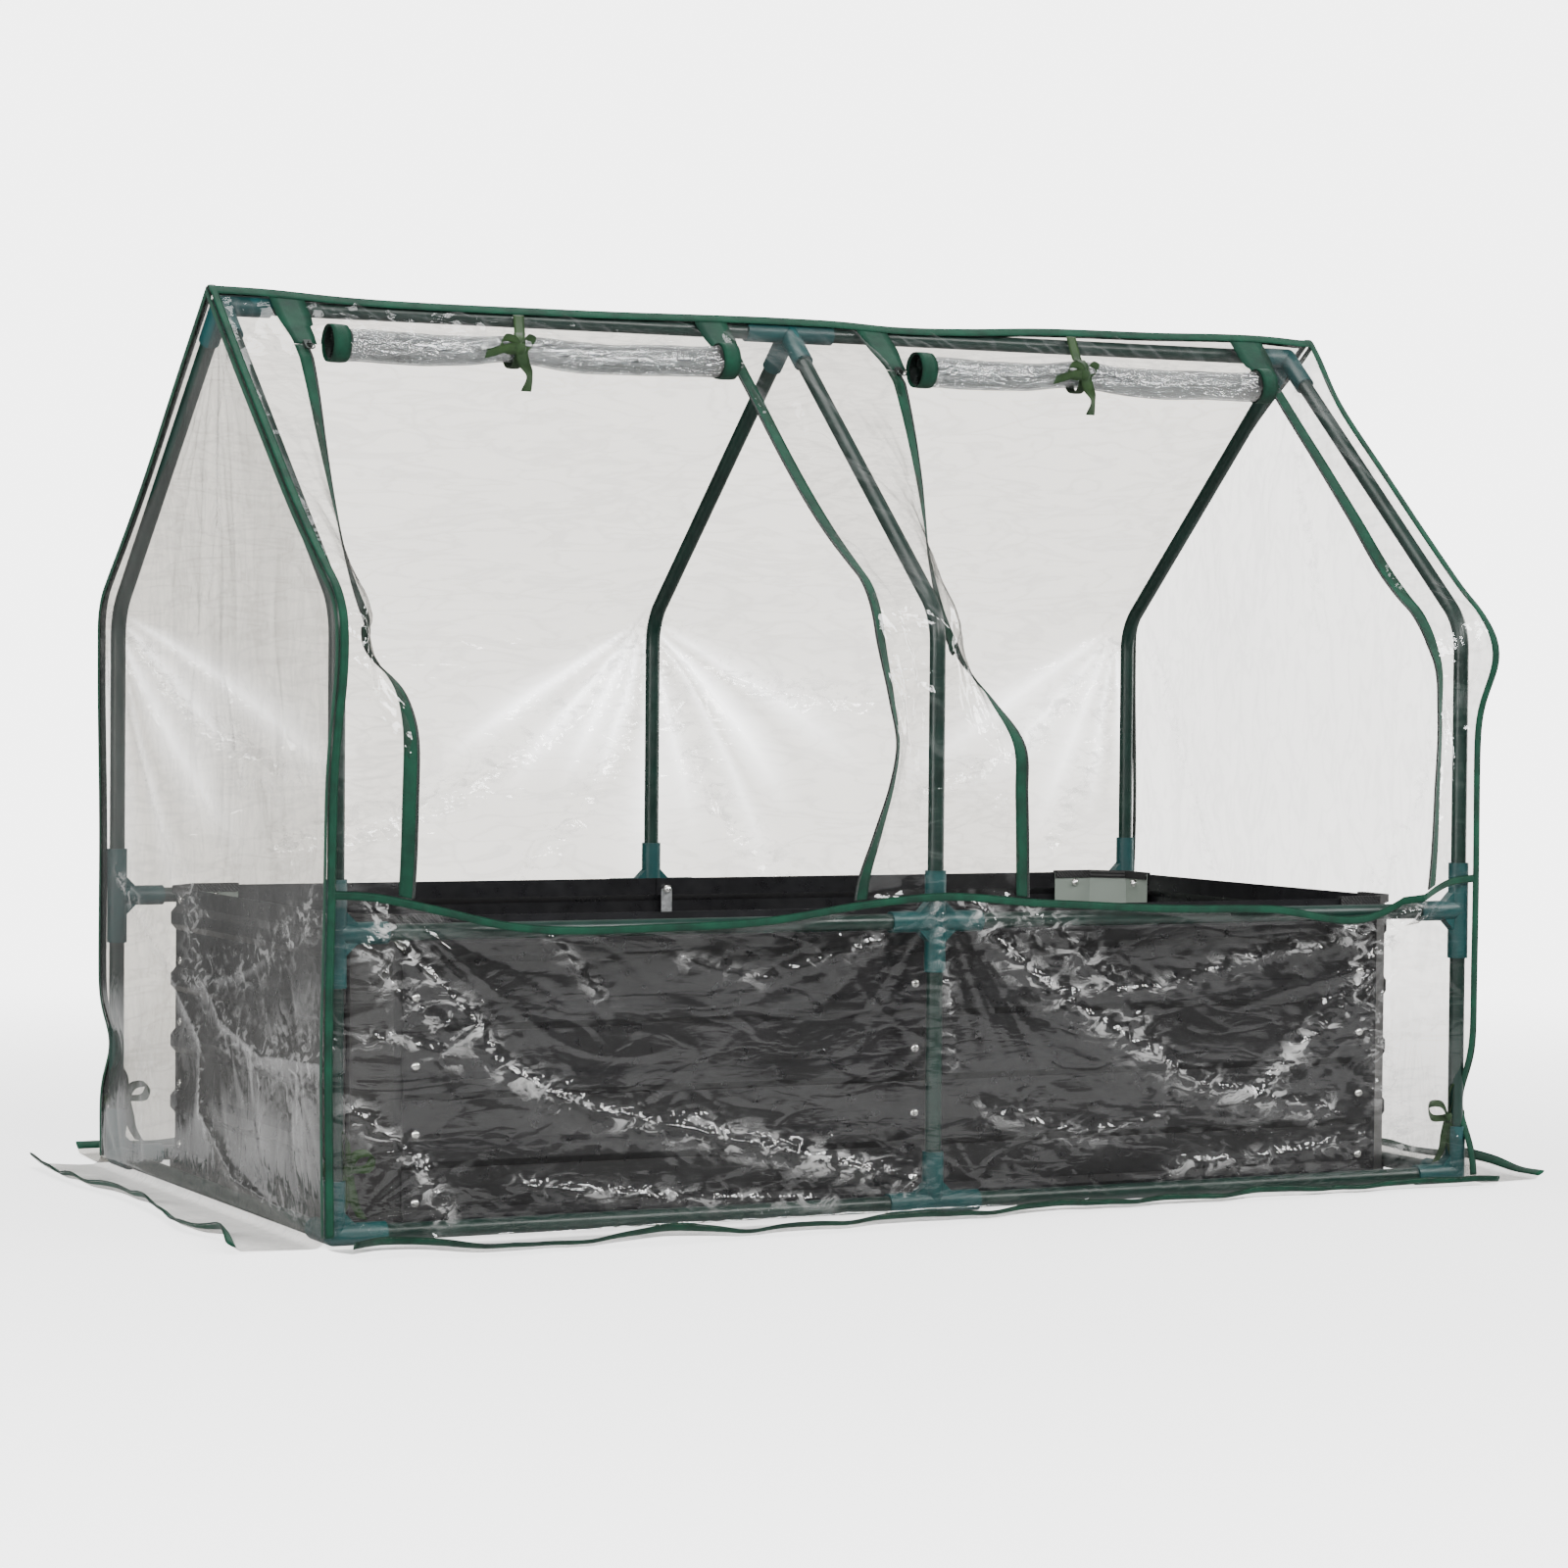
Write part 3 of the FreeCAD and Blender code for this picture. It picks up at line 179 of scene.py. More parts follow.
END_CHAINS = {
    LEFT: [
        ([(0.079, 0.297), (0.055, 0.242), (-0.024, 0.185), (-0.152, 0.161), (-0.292, 0.167), (-0.34, 0.17)],
         0.007, 0.030),
        ([(0.30, 0.32), (0.20, 0.265), (0.136, 0.237), (0.031, 0.16), (0.015, 0.09), (-0.091, 0.035),
          (-0.29, 0.012)], 0.009, 0.012),
        ([(0.26, 0.486), (0.162, 0.365), (0.022, 0.286)], 0.004, 0.008),
        ([(-0.04, 0.52), (-0.063, 0.469), (-0.085, 0.428), (-0.189, 0.418), (-0.33, 0.441)], 0.005, 0.020),
        ([(0.066, 0.213), (-0.088, 0.238), (-0.251, 0.282), (-0.335, 0.313)], 0.005, 0.025),
        ([(-0.046, 0.852), (-0.014, 0.771), (-0.005, 0.689), (0.02, 0.60)], 0.004, 0.016),
    ],
    RIGHT: [
        ([(-0.33, 0.56), (-0.22, 0.36), (-0.05, 0.16)], 0.006, 0.018),
        ([(0.30, 0.56), (0.15, 0.30), (0.10, 0.10)], 0.005, 0.016),
        ([(0.0, 0.86), (-0.06, 0.60)], 0.004, 0.014),
    ],
}

# Points that pull folds into the strip below the doors: place, heading, spread, count, reach, depth.
FRONT_PULLS = [
    ((0.61, 0.32), -2.45, 0.45, 9, 0.40, 0.0030),
    ((0.0, 0.31), -0.95, 0.45, 7, 0.34, 0.0026),
    ((0.0, 0.31), -2.40, 0.40, 5, 0.26, 0.0018),
    ((-0.61, 0.32), -0.80, 0.50, 8, 0.34, 0.0026),
    ((-0.62, 0.02), 0.75, 0.55, 7, 0.22, 0.0022),
    ((0.61, 0.02), 2.4, 0.5, 6, 0.20, 0.0018),
]

# The bow on a rolled door: each loop's or tail's width, whether it comes back to the knot, its points
# out from the roll's front, and the way of its width, at each point or all along.
BOW = [
    (0.0080, True,
     [(-0.008, 0, 0.010), (-0.019, 0, 0.011), (-0.021, 0.002, 0.003), (-0.009, 0.002, -0.001)],
     (0.25, -0.3, 1)),
    (0.0075, True, [(0.005, -0.001, 0.013), (0.013, 0, 0.010), (0.009, 0.002, 0.001)], (0.6, -0.3, 1)),
    (0.0125, False, [(0.002, 0, -0.012), (0.009, 0.002, -0.026), (0.005, 0.001, -0.041)],
     [(1, 0, 0.1), (1, -0.4, 0), (0.8, 0.6, 0), (1, 0.2, 0)]),
    (0.0100, False, [(-0.012, 0, 0.002), (-0.026, 0.001, -0.002), (-0.037, 0.003, -0.005)],
     [(0.2, 0, 1), (0.3, -0.2, 1), (0.2, -0.3, 1), (0.4, 0, 1)]),
]


# Curves and waves.

def smooth(low, high, value):
    """Rise smoothly from 0 at low to 1 at high."""
    t = np.clip((value - low) / (high - low), 0, 1)
    return t * t * (3 - 2 * t)


def soft_table(points, value):
    """Read a curve given by a few listed points, rounded between them."""
    keys, amounts = np.array(points, float).T
    index = np.clip(np.searchsorted(keys, value) - 1, 0, len(keys) - 2)
    width = keys[index + 1] - keys[index]
    t = np.clip((value - keys[index]) / width, 0, 1)
    slopes = np.gradient(amounts, keys)
    a, b = amounts[index], amounts[index + 1]
    slope_a, slope_b = slopes[index] * width, slopes[index + 1] * width
    return ((2 * t**3 - 3 * t**2 + 1) * a + (t**3 - 2 * t**2 + t) * slope_a
            + (-2 * t**3 + 3 * t**2) * b + (t**3 - t**2) * slope_b)


def waves(columns, seed, count, longest, shortest):
    """Sum random sine waves; the result is about -1 to 1."""
    rng = np.random.default_rng(seed)
    total = 0.0
    weights = 0.0
    for _ in range(count):
        length = longest * (shortest / longest) ** rng.random()
        heading = rng.normal(size=len(columns))
        heading /= np.linalg.norm(heading)
        phase = rng.uniform(0, 2 * math.pi)
        weight = length / longest
        argument = sum(h * column for h, column in zip(heading, columns))
        total = total + weight * np.sin(2 * math.pi * argument / length + phase)
        weights += weight
    return total / weights * 1.8


# Folds in film: how far it is pushed out at flat coordinates u and v. Angles are in radians.

def creases(u, v, seed, count, region, lengths, depth, heading, spread, width):
    """Scatter sharp folds of about one heading over a region given as two corners."""
    rng = np.random.default_rng(seed)
    total = np.zeros_like(u)
    for _ in range(count):
        centre_u = rng.uniform(region[0][0], region[1][0])
        centre_v = rng.uniform(region[0][1], region[1][1])
        angle = heading + rng.normal(0, spread)
        length = rng.uniform(*lengths)
        sign = rng.choice([-1, 1])
        bow = rng.normal(0, 0.25) / length
        thick = width * rng.uniform(0.5, 1.6)
        strength = depth * rng.uniform(0.35, 1.0)
        along = (u - centre_u) * math.cos(angle) + (v - centre_v) * math.sin(angle)
        across = (v - centre_v) * math.cos(angle) - (u - centre_u) * math.sin(angle) + bow * along**2
        near = (np.abs(across) < 7 * thick) & (np.abs(along) < 1.7 * length)
        fold = np.exp(-np.abs(across[near]) / thick) * np.exp(-(along[near] / length) ** 4)
        total[near] += sign * strength * fold
    return total


def fan(u, v, seed, anchor, heading, spread, count, reach, depth):
    """Spread folds from a point that pulls on the film, each side of a heading."""
    rng = np.random.default_rng(seed)
    du, dv = u - anchor[0], v - anchor[1]
    distance = np.hypot(du, dv) + 1e-6
    angle = np.arctan2(dv, du)
    total = np.zeros_like(u)
    for index in range(count):
        ray = heading + spread * ((index + 0.5) / count * 2 - 1) + rng.normal(0, 0.25 * spread / count)
        far = reach * rng.uniform(0.55, 1.15)
        narrow = spread / count * rng.uniform(0.35, 0.8)
        turn = np.angle(np.exp(1j * (angle - ray)))
        bend = turn + 0.35 * rng.normal() * (distance - 0.1)
        body = rng.choice([-0.6, 1.0]) * np.exp(-np.abs(bend) / narrow)
        total += body * smooth(0, 0.06, distance) * (1 - smooth(0.45 * far, far, distance))
    return depth * total


def along_line(u, v, points):
    """Return how far along a bent line each place lies, and its distance from it, positive on its left."""
    best = np.full_like(u, 1e9)
    along, across = np.zeros_like(u), np.zeros_like(u)
    start = 0.0
    for (au, av), (bu, bv) in zip(points[:-1], points[1:]):
        length = math.hypot(bu - au, bv - av)
        du, dv = (bu - au) / length, (bv - av) / length
        t = np.clip((u - au) * du + (v - av) * dv, 0, length)
        distance = np.hypot(u - au - t * du, v - av - t * dv)
        side = np.where(du * (v - av) - dv * (u - au) < 0, -1.0, 1.0)
        nearer = distance < best
        best = np.where(nearer, distance, best)
        along = np.where(nearer, start + t, along)
        across = np.where(nearer, side * distance, across)
        start += length
    return along, across


def ruffle(u, v, seed, line, reach, depth, beat, skew):
    """Gather film along a line, given by along_line: many short sharp creases across it, in patches."""
    along, across = line
    drift = waves((u, v), seed, 7, 0.09, 0.02)
    phase = (along + skew * across) / beat + 0.9 * drift
    tooth = 4 * np.abs(phase - np.floor(phase) - 0.5) - 1
    patch = smooth(-0.5, 0.6, waves((u, v), seed + 1, 7, 0.10, 0.03))
    return depth * tooth * patch * np.exp(-(across / reach) ** 2)


def crumple(u, v, seed, cell, depth):
    """Break a surface into small flat facets."""
    rng = np.random.default_rng(seed)
    low_u, low_v = u.min() - cell, v.min() - cell
    columns = int((u.max() - low_u) / cell) + 3
    rows = int((v.max() - low_v) / cell) + 3
    offset = rng.random((columns, rows, 2))
    height = rng.uniform(-1, 1, (columns, rows))
    warp_u = u + 0.5 * cell * waves((u, v), seed + 1, 5, 6 * cell, 2 * cell)
    warp_v = v + 0.5 * cell * waves((u, v), seed + 2, 5, 6 * cell, 2 * cell)
    grid_u = np.clip((warp_u - low_u) / cell, 1, columns - 2)
    grid_v = np.clip((warp_v - low_v) / cell, 1, rows - 2)
    cell_u, cell_v = grid_u.astype(int), grid_v.astype(int)
    nearest = np.full_like(u, 9.0)
    lift = np.zeros_like(u)
    for step_u in (-1, 0, 1):
        for step_v in (-1, 0, 1):
            i = np.clip(cell_u + step_u, 0, columns - 1)
            j = np.clip(cell_v + step_v, 0, rows - 1)
            distance = np.hypot(i + offset[i, j, 0] - grid_u, j + offset[i, j, 1] - grid_v)
            closer = distance < nearest
            nearest = np.where(closer, distance, nearest)
            lift = np.where(closer, height[i, j], lift)
    return depth * (nearest - 0.5) * (0.6 + 0.4 * lift)


def gather(u, v, chains, fold, ruffles, near_reach=2.0, facets=()):
    """Fold film along chains of listed points; return the folds and how gathered each place is.

    fold turns a chain's depth and reach into its long fold's height and width and its mark. Each ruffle
    has a first seed, a share of the reach, a depth, a beat and a skew. Facets crumple the film near the
    chains, and have a seed, a size and a depth.
    """
    folds, gathered, near = (np.zeros_like(u) for _ in range(3))
    for index, (points, depth, reach) in enumerate(chains):
        line = along_line(u, v, points)
        height, width, mark = fold(depth, reach)
        folds += height * np.exp(-np.abs(line[1]) / width)
        for seed, share, *shape in ruffles:
            folds += ruffle(u, v, seed + 3 * index, line, share * reach, *shape)
        gathered = np.maximum(gathered, mark * np.exp(-(line[1] / reach) ** 2))
        near = np.maximum(near, np.exp(-(line[1] / (near_reach * reach)) ** 2))
    for seed, cell, depth in facets:
        folds += near * crumple(u, v, seed, cell, depth)
    return folds, gathered


# The cover as a surface. s runs from the ridge down the slope, the wall and out along the skirt.

def section(s):
    """Return the cover's section at s: distance from the ridge's plane, height and outward normal."""
    s = np.asarray(s, float)
    turn = np.clip((s - SLOPE_END) / BEND, 0, math.pi / 2 - PITCH)
    normal = math.pi / 2 - PITCH - turn
    reach = np.minimum(s, SLOPE_END) * COS
    reach = reach + BEND * (np.cos(normal) - SIN)
    height = RIDGE - np.minimum(s, SLOPE_END) * SIN
    height = height - BEND * (COS - np.sin(normal))
    height = height - np.clip(s - WALL_START, 0, FOOT_START - WALL_START)
    foot = np.clip((s - FOOT_START) / FOOT, 0, math.pi / 2)
    reach = reach + FOOT * (1 - np.cos(foot)) + np.maximum(s - FOOT_END, 0)
    height = height - FOOT * np.sin(foot)
    out_reach = np.where(s < FOOT_START, np.cos(normal), np.cos(foot))
    out_height = np.where(s < FOOT_START, np.sin(normal), np.sin(foot))
    return reach, height, out_reach, out_height


def s_at_height(height):
    """Return where the wall reaches a height."""
    return FOOT_START - (height - FOOT)


def turn_flap(x, s, hinge, edge, turns):
    """Turn a flap about its tube; return the new x and how far in each point goes."""
    share = np.clip((x - hinge) / (edge - hinge), 0, 1.2)
    angle = np.radians(soft_table(turns, s)) * share**0.6
    along, inward = (edge - hinge) * share * np.cos(angle), abs(edge - hinge) * share * np.sin(angle)
    return np.where(share > 0, hinge + along, x), inward


def wander(points):
    """Shift points by the slow waviness that film, binding and zips share."""
    x, y, z = np.moveaxis(points, -1, 0)
    room = smooth(0.0, 0.30, RIDGE - z)
    shift = np.stack([waves((x, y, z), 11 + axis, 7, 0.75, 0.22) for axis in range(3)], axis=-1)
    rise = 0.0028 * smooth(0.03, 0.25, z) * (0.35 + 0.65 * room)
    moved = points + shift * np.stack([0.0035 * room, 0.0045 * room, rise], axis=-1)
    for centre, size, push in EARS:
        near = np.exp(-np.sum(((points - np.array(centre)) / np.array(size)) ** 2, axis=-1))
        moved = moved + near[..., None] * np.array(push)
    return moved


def waist_shift(x, z):
    """Return how far the wall's film rises or sinks with the waist binding."""
    return soft_table(WAIST_RISE, x) * smooth(0.05, 0.27, z) * (1 - smooth(0.34, 0.50, z))


def cover_point(x, s, out=0.0, side=FRONT, folds=0.0):
    """Return points of the front or back of the cover, out from its inner face."""
    x, s = np.broadcast_arrays(np.asarray(x, float), np.asarray(s, float))
    if side == FRONT:
        s = np.where(s > FOOT_END, FOOT_END + (s - FOOT_END) * soft_table(FRONT_SKIRT, x) / SKIRT, s)
    reach, height, out_reach, out_height = section(s)
    inward = np.zeros_like(s)
    for hinge, edge, turns in FLAPS if side == FRONT else []:
        on_flap = (x - hinge) * (edge - hinge) > 0
        on_flap &= (np.abs(x - hinge) <= 1.25 * abs(edge - hinge)) & (height > WAIST - 0.03)
        if on_flap.any():
            new_x, depth = turn_flap(x, s, hinge, edge, turns)
            x = np.where(on_flap, new_x, x)
            inward = np.where(on_flap, depth, inward)
    lift = out + folds - inward
    points = wander(np.stack([x, side * (reach + out_reach * lift), height + out_height * lift], axis=-1))
    points[..., 2] -= soft_table(RIDGE_SAG, points[..., 0]) * (1 - smooth(0.01, 0.10, s))
    if side == FRONT:
        points[..., 2] += waist_shift(points[..., 0], points[..., 2])
    return points


def end_point(y, z, out=0.0, side=LEFT):
    """Return points of an end of the cover. Below the floor line z counts on outward along the skirt."""
    y, z = np.broadcast_arrays(np.asarray(y, float), np.asarray(z, float))
    foot = np.clip((FOOT - z) / FOOT, 0, math.pi / 2)
    past = np.maximum(FOOT - z - FOOT * math.pi / 2, 0)
    if side == LEFT:
        past = past * soft_table(LEFT_SKIRT, y) / SKIRT
    x = END_X + FOOT * (1 - np.cos(foot)) + past + np.cos(foot) * out
    height = np.maximum(z, FOOT) - FOOT * np.sin(foot) + np.sin(foot) * out
    return wander(np.stack([side * x, y, height], axis=-1))


# Meshes.

def new_object(name, vertices, faces, material, uvs=None, marks=None):
    """Make a smooth mesh object. uvs hold one pair for each vertex, and each of the marks one number."""
    mesh = bpy.data.meshes.new(name)
    mesh.from_pydata([tuple(v) for v in vertices], [], faces)
    mesh.update()
    if uvs is not None:
        layer = mesh.uv_layers.new(name="UVMap")
        corner = np.zeros(len(mesh.loops), dtype=np.int32)
        mesh.loops.foreach_get("vertex_index", corner)
        layer.data.foreach_set("uv", np.asarray(uvs, np.float32)[corner].ravel())
    for mark, values in (marks or {}).items():
        attribute = mesh.attributes.new(mark, "FLOAT", "POINT")
        attribute.data.foreach_set("value", np.asarray(values, np.float32).ravel())
    mesh.polygons.foreach_set("use_smooth", np.ones(len(mesh.polygons), dtype=bool))
    mesh.materials.append(material)
    obj = bpy.data.objects.new(name, mesh)
    bpy.context.scene.collection.objects.link(obj)
    return obj


def pairs(first, second):
    """Return every pair of two rows of numbers, as a grid."""
    return np.stack(np.meshgrid(first, second, indexing="ij"), axis=-1)


class Builder:
    """Gathers grids of points into one mesh, whose vertices run along a grid's columns first."""

    def __init__(self):
        self.vertices, self.faces, self.uvs, self.count = [], [], [], 0

    def add_vertices(self, points, uvs):
        """Add a grid's vertices. Their faces come first, and count on from self.count."""
        self.vertices.append(points.reshape(-1, 3))
        self.uvs.append(uvs.reshape(-1, 2))
        self.count += points.shape[0] * points.shape[1]

    def add_grid(self, points):
        """Add an open sheet."""
        rows, columns = points.shape[:2]
        i, j = np.moveaxis(pairs(np.arange(rows - 1), np.arange(columns - 1)), -1, 0)
        a = (self.count + i * columns + j).ravel()
        self.faces += np.stack([a, a + 1, a + columns + 1, a + columns], axis=1).tolist()
        self.add_vertices(points, pairs(np.linspace(0, 1, rows), np.linspace(0, 1, columns)))

    def add_loops(self, loops, uvs):
        """Skin a row of closed loops, such as a ribbon's sections, and close both ends."""
        rows, columns = loops.shape[:2]
        last = self.count + (rows - 1) * columns
        for a in range(self.count, last, columns):
            b = a + columns
            for j in range(columns):
                k = (j + 1) % columns
                self.faces.append([a + j, a + k, b + k, b + j])
        self.faces.append([self.count + j for j in range(columns)][::-1])
        self.faces.append([last + j for j in range(columns)])
        self.add_vertices(loops, uvs)

    def build(self, name, material, marks=None):
        """Make the object."""
        return new_object(
            name, np.concatenate(self.vertices), self.faces, material, np.concatenate(self.uvs), marks,
        )


def normalised(vectors):
    """Return vectors of length 1."""
    return vectors / np.maximum(np.linalg.norm(vectors, axis=-1, keepdims=True), 1e-9)


def distances(points):
    """Return how far along a line each of its points is."""
    return np.concatenate([[0], np.cumsum(np.linalg.norm(np.diff(points, axis=0), axis=1))])


def add_band(builder, edge_a, edge_b, thickness, crown=0.0):
    """Add a strip of cloth between two edge lines, its thickness on the side that their order gives."""
    along = np.gradient(edge_a + edge_b, axis=0)
    normal = normalised(np.cross(along, edge_b - edge_a))
    shares = np.linspace(0, 1, 5)
    rounding = 0.5 + 0.5 * np.sqrt(np.clip(1 - (2 * shares - 1) ** 4, 0, 1))
    top, bottom = [], []
    for t, r in zip(shares, rounding):
        middle = edge_a * (1 - t) + edge_b * t
        top.append(middle + normal * (thickness * r + crown * math.sin(math.pi * t)))
        bottom.append(middle + normal * thickness * (1 - r))
    loops = np.stack(top + bottom[::-1], axis=1)
    uvs = pairs(distances((edge_a + edge_b) / 2), np.concatenate([shares, shares[::-1]]))
    builder.add_loops(loops, uvs)


def smooth_path(values, points, count):
    """Round a list of vectors, one for each of some points, into count vectors at even distances."""
    keys = distances(points)
    places = np.linspace(0, keys[-1], count)
    return np.stack([soft_table(list(zip(keys, column)), places) for column in values.T], axis=1)


def add_ribbon(builder, points, width_ways, width, count=40):
    """Add a ribbon along a rounded line; width_ways is the way of its width, or one way for each point."""
    points = np.array(points, float)
    line = smooth_path(points, points, count)
    ways = np.broadcast_to(np.array(width_ways, float), points.shape)
    ways = normalised(smooth_path(ways, points, count))
    add_band(builder, line - ways * width / 2, line + ways * width / 2, 0.0007)


# Materials.

class Nodes:
    """Fills a material or the world with shader nodes. Most methods return the new node's output."""

    def __init__(self, owner):
        owner.use_nodes = True
        self.owner = owner
        self.tree = owner.node_tree
        self.tree.nodes.clear()

    def add(self, kind, inputs, output=0, **settings):
        """Add a node; each input is a plain value or another node's output."""
        made = self.tree.nodes.new("ShaderNode" + kind)
        for key, value in settings.items():
            setattr(made, key, value)
        for key, value in inputs.items():
            if isinstance(value, bpy.types.NodeSocket):
                self.tree.links.new(value, made.inputs[key])
            else:
                made.inputs[key].default_value = value
        return made.outputs[output]

    def finish(self, surface, kind="OutputMaterial"):
        """Join the last shader to the output, and return the material or world."""
        output = self.tree.nodes.new("ShaderNode" + kind)
        self.tree.links.new(surface, output.inputs["Surface"])
        return self.owner

    def place(self, scale=(1, 1, 1), turn=(0, 0, 0)):
        """Return the object's own coordinates, stretched and turned."""
        coordinates = self.add("TexCoord", {}, "Object")
        return self.add("Mapping", {"Vector": coordinates, "Scale": scale, "Rotation": turn})

    def noise(self, vector, scale, detail=4.0, roughness=0.55, distortion=0.0):
        """Add soft clouds."""
        return self.add("TexNoise", {
            "Vector": vector, "Scale": scale, "Detail": detail, "Roughness": roughness,
            "Distortion": distortion,
        }, "Fac")

    def wave(self, vector, scale, way, distortion=0.0):
        """Add regular stripes."""
        inputs = {"Vector": vector, "Scale": scale, "Distortion": distortion}
        return self.add("TexWave", inputs, "Fac", bands_direction=way)

    def ramp(self, factor, *stops):
        """Map a factor to greys at a few stops."""
        colour = self.add("ValToRGB", {"Fac": factor})
        elements = colour.node.color_ramp.elements
        while len(elements) < len(stops):
            elements.new(0.5)
        for element, (position, grey) in zip(elements, stops):
            element.position = position
            element.color = (grey, grey, grey, 1)
        return colour

    def bump(self, height, strength, distance, normal=None):
        """Add relief on top of another bump's, if given."""
        inputs = {"Height": height, "Strength": strength, "Distance": distance}
        if normal is not None:
            inputs["Normal"] = normal
        return self.add("Bump", inputs)

    def math(self, operation, first, second=0.5, clamp=False):
        """Add a step of arithmetic."""
        return self.add("Math", {0: first, 1: second}, operation=operation, use_clamp=clamp)

    def blend(self, factor, first, second):
        """Mix two colours."""
        return self.add("Mix", {"Factor": factor, 6: first, 7: second}, 2, data_type="RGBA")

    def mix(self, factor, first, second):
        """Mix two shaders."""
        return self.add("MixShader", {0: factor, 1: first, 2: second})

    def grooves(self, vector, scale, width, distortion):
        """Return a height that is flat but for narrow winding grooves."""
        cloud = self.noise(vector, scale, 3, 0.5, distortion)
        offset = self.math("ABSOLUTE", self.math("SUBTRACT", cloud, 0.5))
        return self.math("DIVIDE", offset, width, clamp=True)

    def principled(self, colour, roughness, normal, more=None):
        """Finish with the standard surface."""
        return self.finish(self.add("BsdfPrincipled", {
            "Base Color": colour, "Roughness": roughness, "Normal": normal, **(more or {}),
        }))


def new_nodes(name):
    """Start a material."""
    return Nodes(bpy.data.materials.new(name))


def srgb(red, green, blue):
    """Turn display values (0 to 255) into a linear colour."""
    shares = [value / 255 for value in (red, green, blue)]
    return (*[v / 12.92 if v <= 0.04045 else ((v + 0.055) / 1.055) ** 2.4 for v in shares], 1)


WHITE = (1, 1, 1, 1)


def film_material(name, tint, haze, wrinkle=1.0, stretch=(0.3, 1, 1), turn=(0, 0.5, 0.2), roughness=0.06,
                  face_on=0.065, dimming=0.90):
    """Clear film: what is behind shows through, with a mirror gloss that fine creases break up."""
    n = new_nodes(name)
    place = n.place(stretch, turn)
    normal = n.bump(n.noise(place, 5, 2, 0.5, 0.5), 0.35 * wrinkle, 0.010)
    for scale, width, distortion, strength, distance in (
        (9, 0.035, 0.7, 0.35, 0.0014), (27, 0.05, 0.6, 0.35, 0.0007), (75, 0.10, 0.4, 0.25, 0.0003),
    ):
        normal = n.bump(n.grooves(place, scale, width, distortion), strength * wrinkle, distance, normal)

    # Film seen at a slant shines more. Fine lines dim what shows through it; along painted highlight
    # streaks, what shows through is lifted towards white instead.
    slant = n.math("POWER", n.add("LayerWeight", {"Blend": 0.5}, "Facing"), 4.5)
    shine = n.add("Math", {0: slant, 1: 0.9, 2: face_on}, operation="MULTIPLY_ADD")
    dim = (*[dimming * part for part in tint[:3]], 1)
    lines = n.math("MULTIPLY", n.grooves(place, 12, 0.022, 1.0), n.grooves(place, 34, 0.05, 0.8))
    shade = n.blend(lines, dim, tint)
    painted_streak = n.add("Attribute", {}, "Fac", attribute_name=PAINTED_STREAKS)
    shade = n.blend(n.math("MULTIPLY", painted_streak, 0.9, clamp=True), shade, WHITE)
    see_through = n.add("BsdfTransparent", {"Color": shade})
    gloss = n.add("BsdfGlossy", {"Color": WHITE, "Roughness": roughness, "Normal": normal})
    clear = n.mix(shine, see_through, gloss)

    # A thin white haze of milk and dust in the film, plus painted highlight shards: more of the same white
    # where the film is gathered, standing in for the glints of its creases.
    haze_and_glint = n.add("BsdfTranslucent", {"Color": (0.86, 0.86, 0.85, 1)})
    # This diffuse white serves both the film's dusty haze and the painted highlight shards.
    dust = n.add("BsdfDiffuse", {"Color": (0.80, 0.80, 0.79, 1)})
    cloud = n.ramp(n.noise(place, 6, 4, 0.6, 0.6), (0.3, 0.35), (0.75, 1.0))
    gathered = n.add("Attribute", {}, "Fac", attribute_name=GATHERED)
    shard = n.ramp(n.noise(n.place((0.8, 1, 1.5), (0, 0.6, 0)), 42, 4, 0.62, 1.3),
                   (0.51, 0.0), (0.57, 0.55), (0.64, 1.0))
    painted_glint = n.math("MULTIPLY", n.math("MULTIPLY", shard, gathered), 0.8)
    share = n.math("ADD", n.math("MULTIPLY", cloud, haze), painted_glint, clamp=True)
    return n.finish(n.mix(share, clear, n.mix(0.5, haze_and_glint, dust)))


def woven_material(name, dark, light, thread=1100, stitched=False):
    """Woven tape: crossed threads along its length and width, with a row of stitches if asked."""
    n = new_nodes(name)
    place = n.place()
    weave = n.math("MULTIPLY", n.wave(place, thread / 3.3, "DIAGONAL", 0.6),
                   n.wave(place, thread / 3.1, "Z", 0.6))
    colour = n.blend(n.ramp(n.noise(place, 38, 4), (0.3, 0.0), (0.75, 1.0)), dark, light)
    colour = n.blend(n.math("MULTIPLY", weave, 0.25), colour, light)
    normal = n.bump(weave, 0.35, 0.0004)
    normal = n.bump(n.noise(place, 90, 3), 0.4, 0.0012, normal)
    if stitched:
        uv = n.add("UVMap", {}, uv_map="UVMap")
        beat = n.math("FRACT", n.math("MULTIPLY", n.add("SeparateXYZ", {"Vector": uv}, "X"), 330))
        offset = n.math("ABSOLUTE", n.math("SUBTRACT", n.add("SeparateXYZ", {"Vector": uv}, "Y"), 0.78))
        stitch = n.math("MULTIPLY", n.math("LESS_THAN", beat, 0.72), n.math("LESS_THAN", offset, 0.045))
        colour = n.blend(n.math("MULTIPLY", stitch, 0.55), colour, light)
        normal = n.bump(stitch, 0.6, 0.0006, normal)
    return n.principled(
        colour, 0.72, normal, {"Sheen Weight": 0.08, "Sheen Roughness": 0.5, "Specular IOR Level": 0.2},
    )


def painted_material(name, colour, worn, roughness):
    """Paint on steel: slight orange peel, uneven gloss and a little dust."""
    n = new_nodes(name)
    place = n.place()
    shade = n.blend(n.ramp(n.noise(place, 22, 5, 0.6), (0.35, 0.0), (0.8, 1.0)), colour, worn)
    normal = n.bump(n.noise(place, 420, 2), 0.25, 0.0002)
    normal = n.bump(n.noise(place, 30, 2), 0.08, 0.0015, normal)
    spread = n.ramp(n.noise(place, 60, 4), (0.2, roughness * 0.75), (0.8, roughness * 1.3))
    return n.principled(shade, spread, normal)


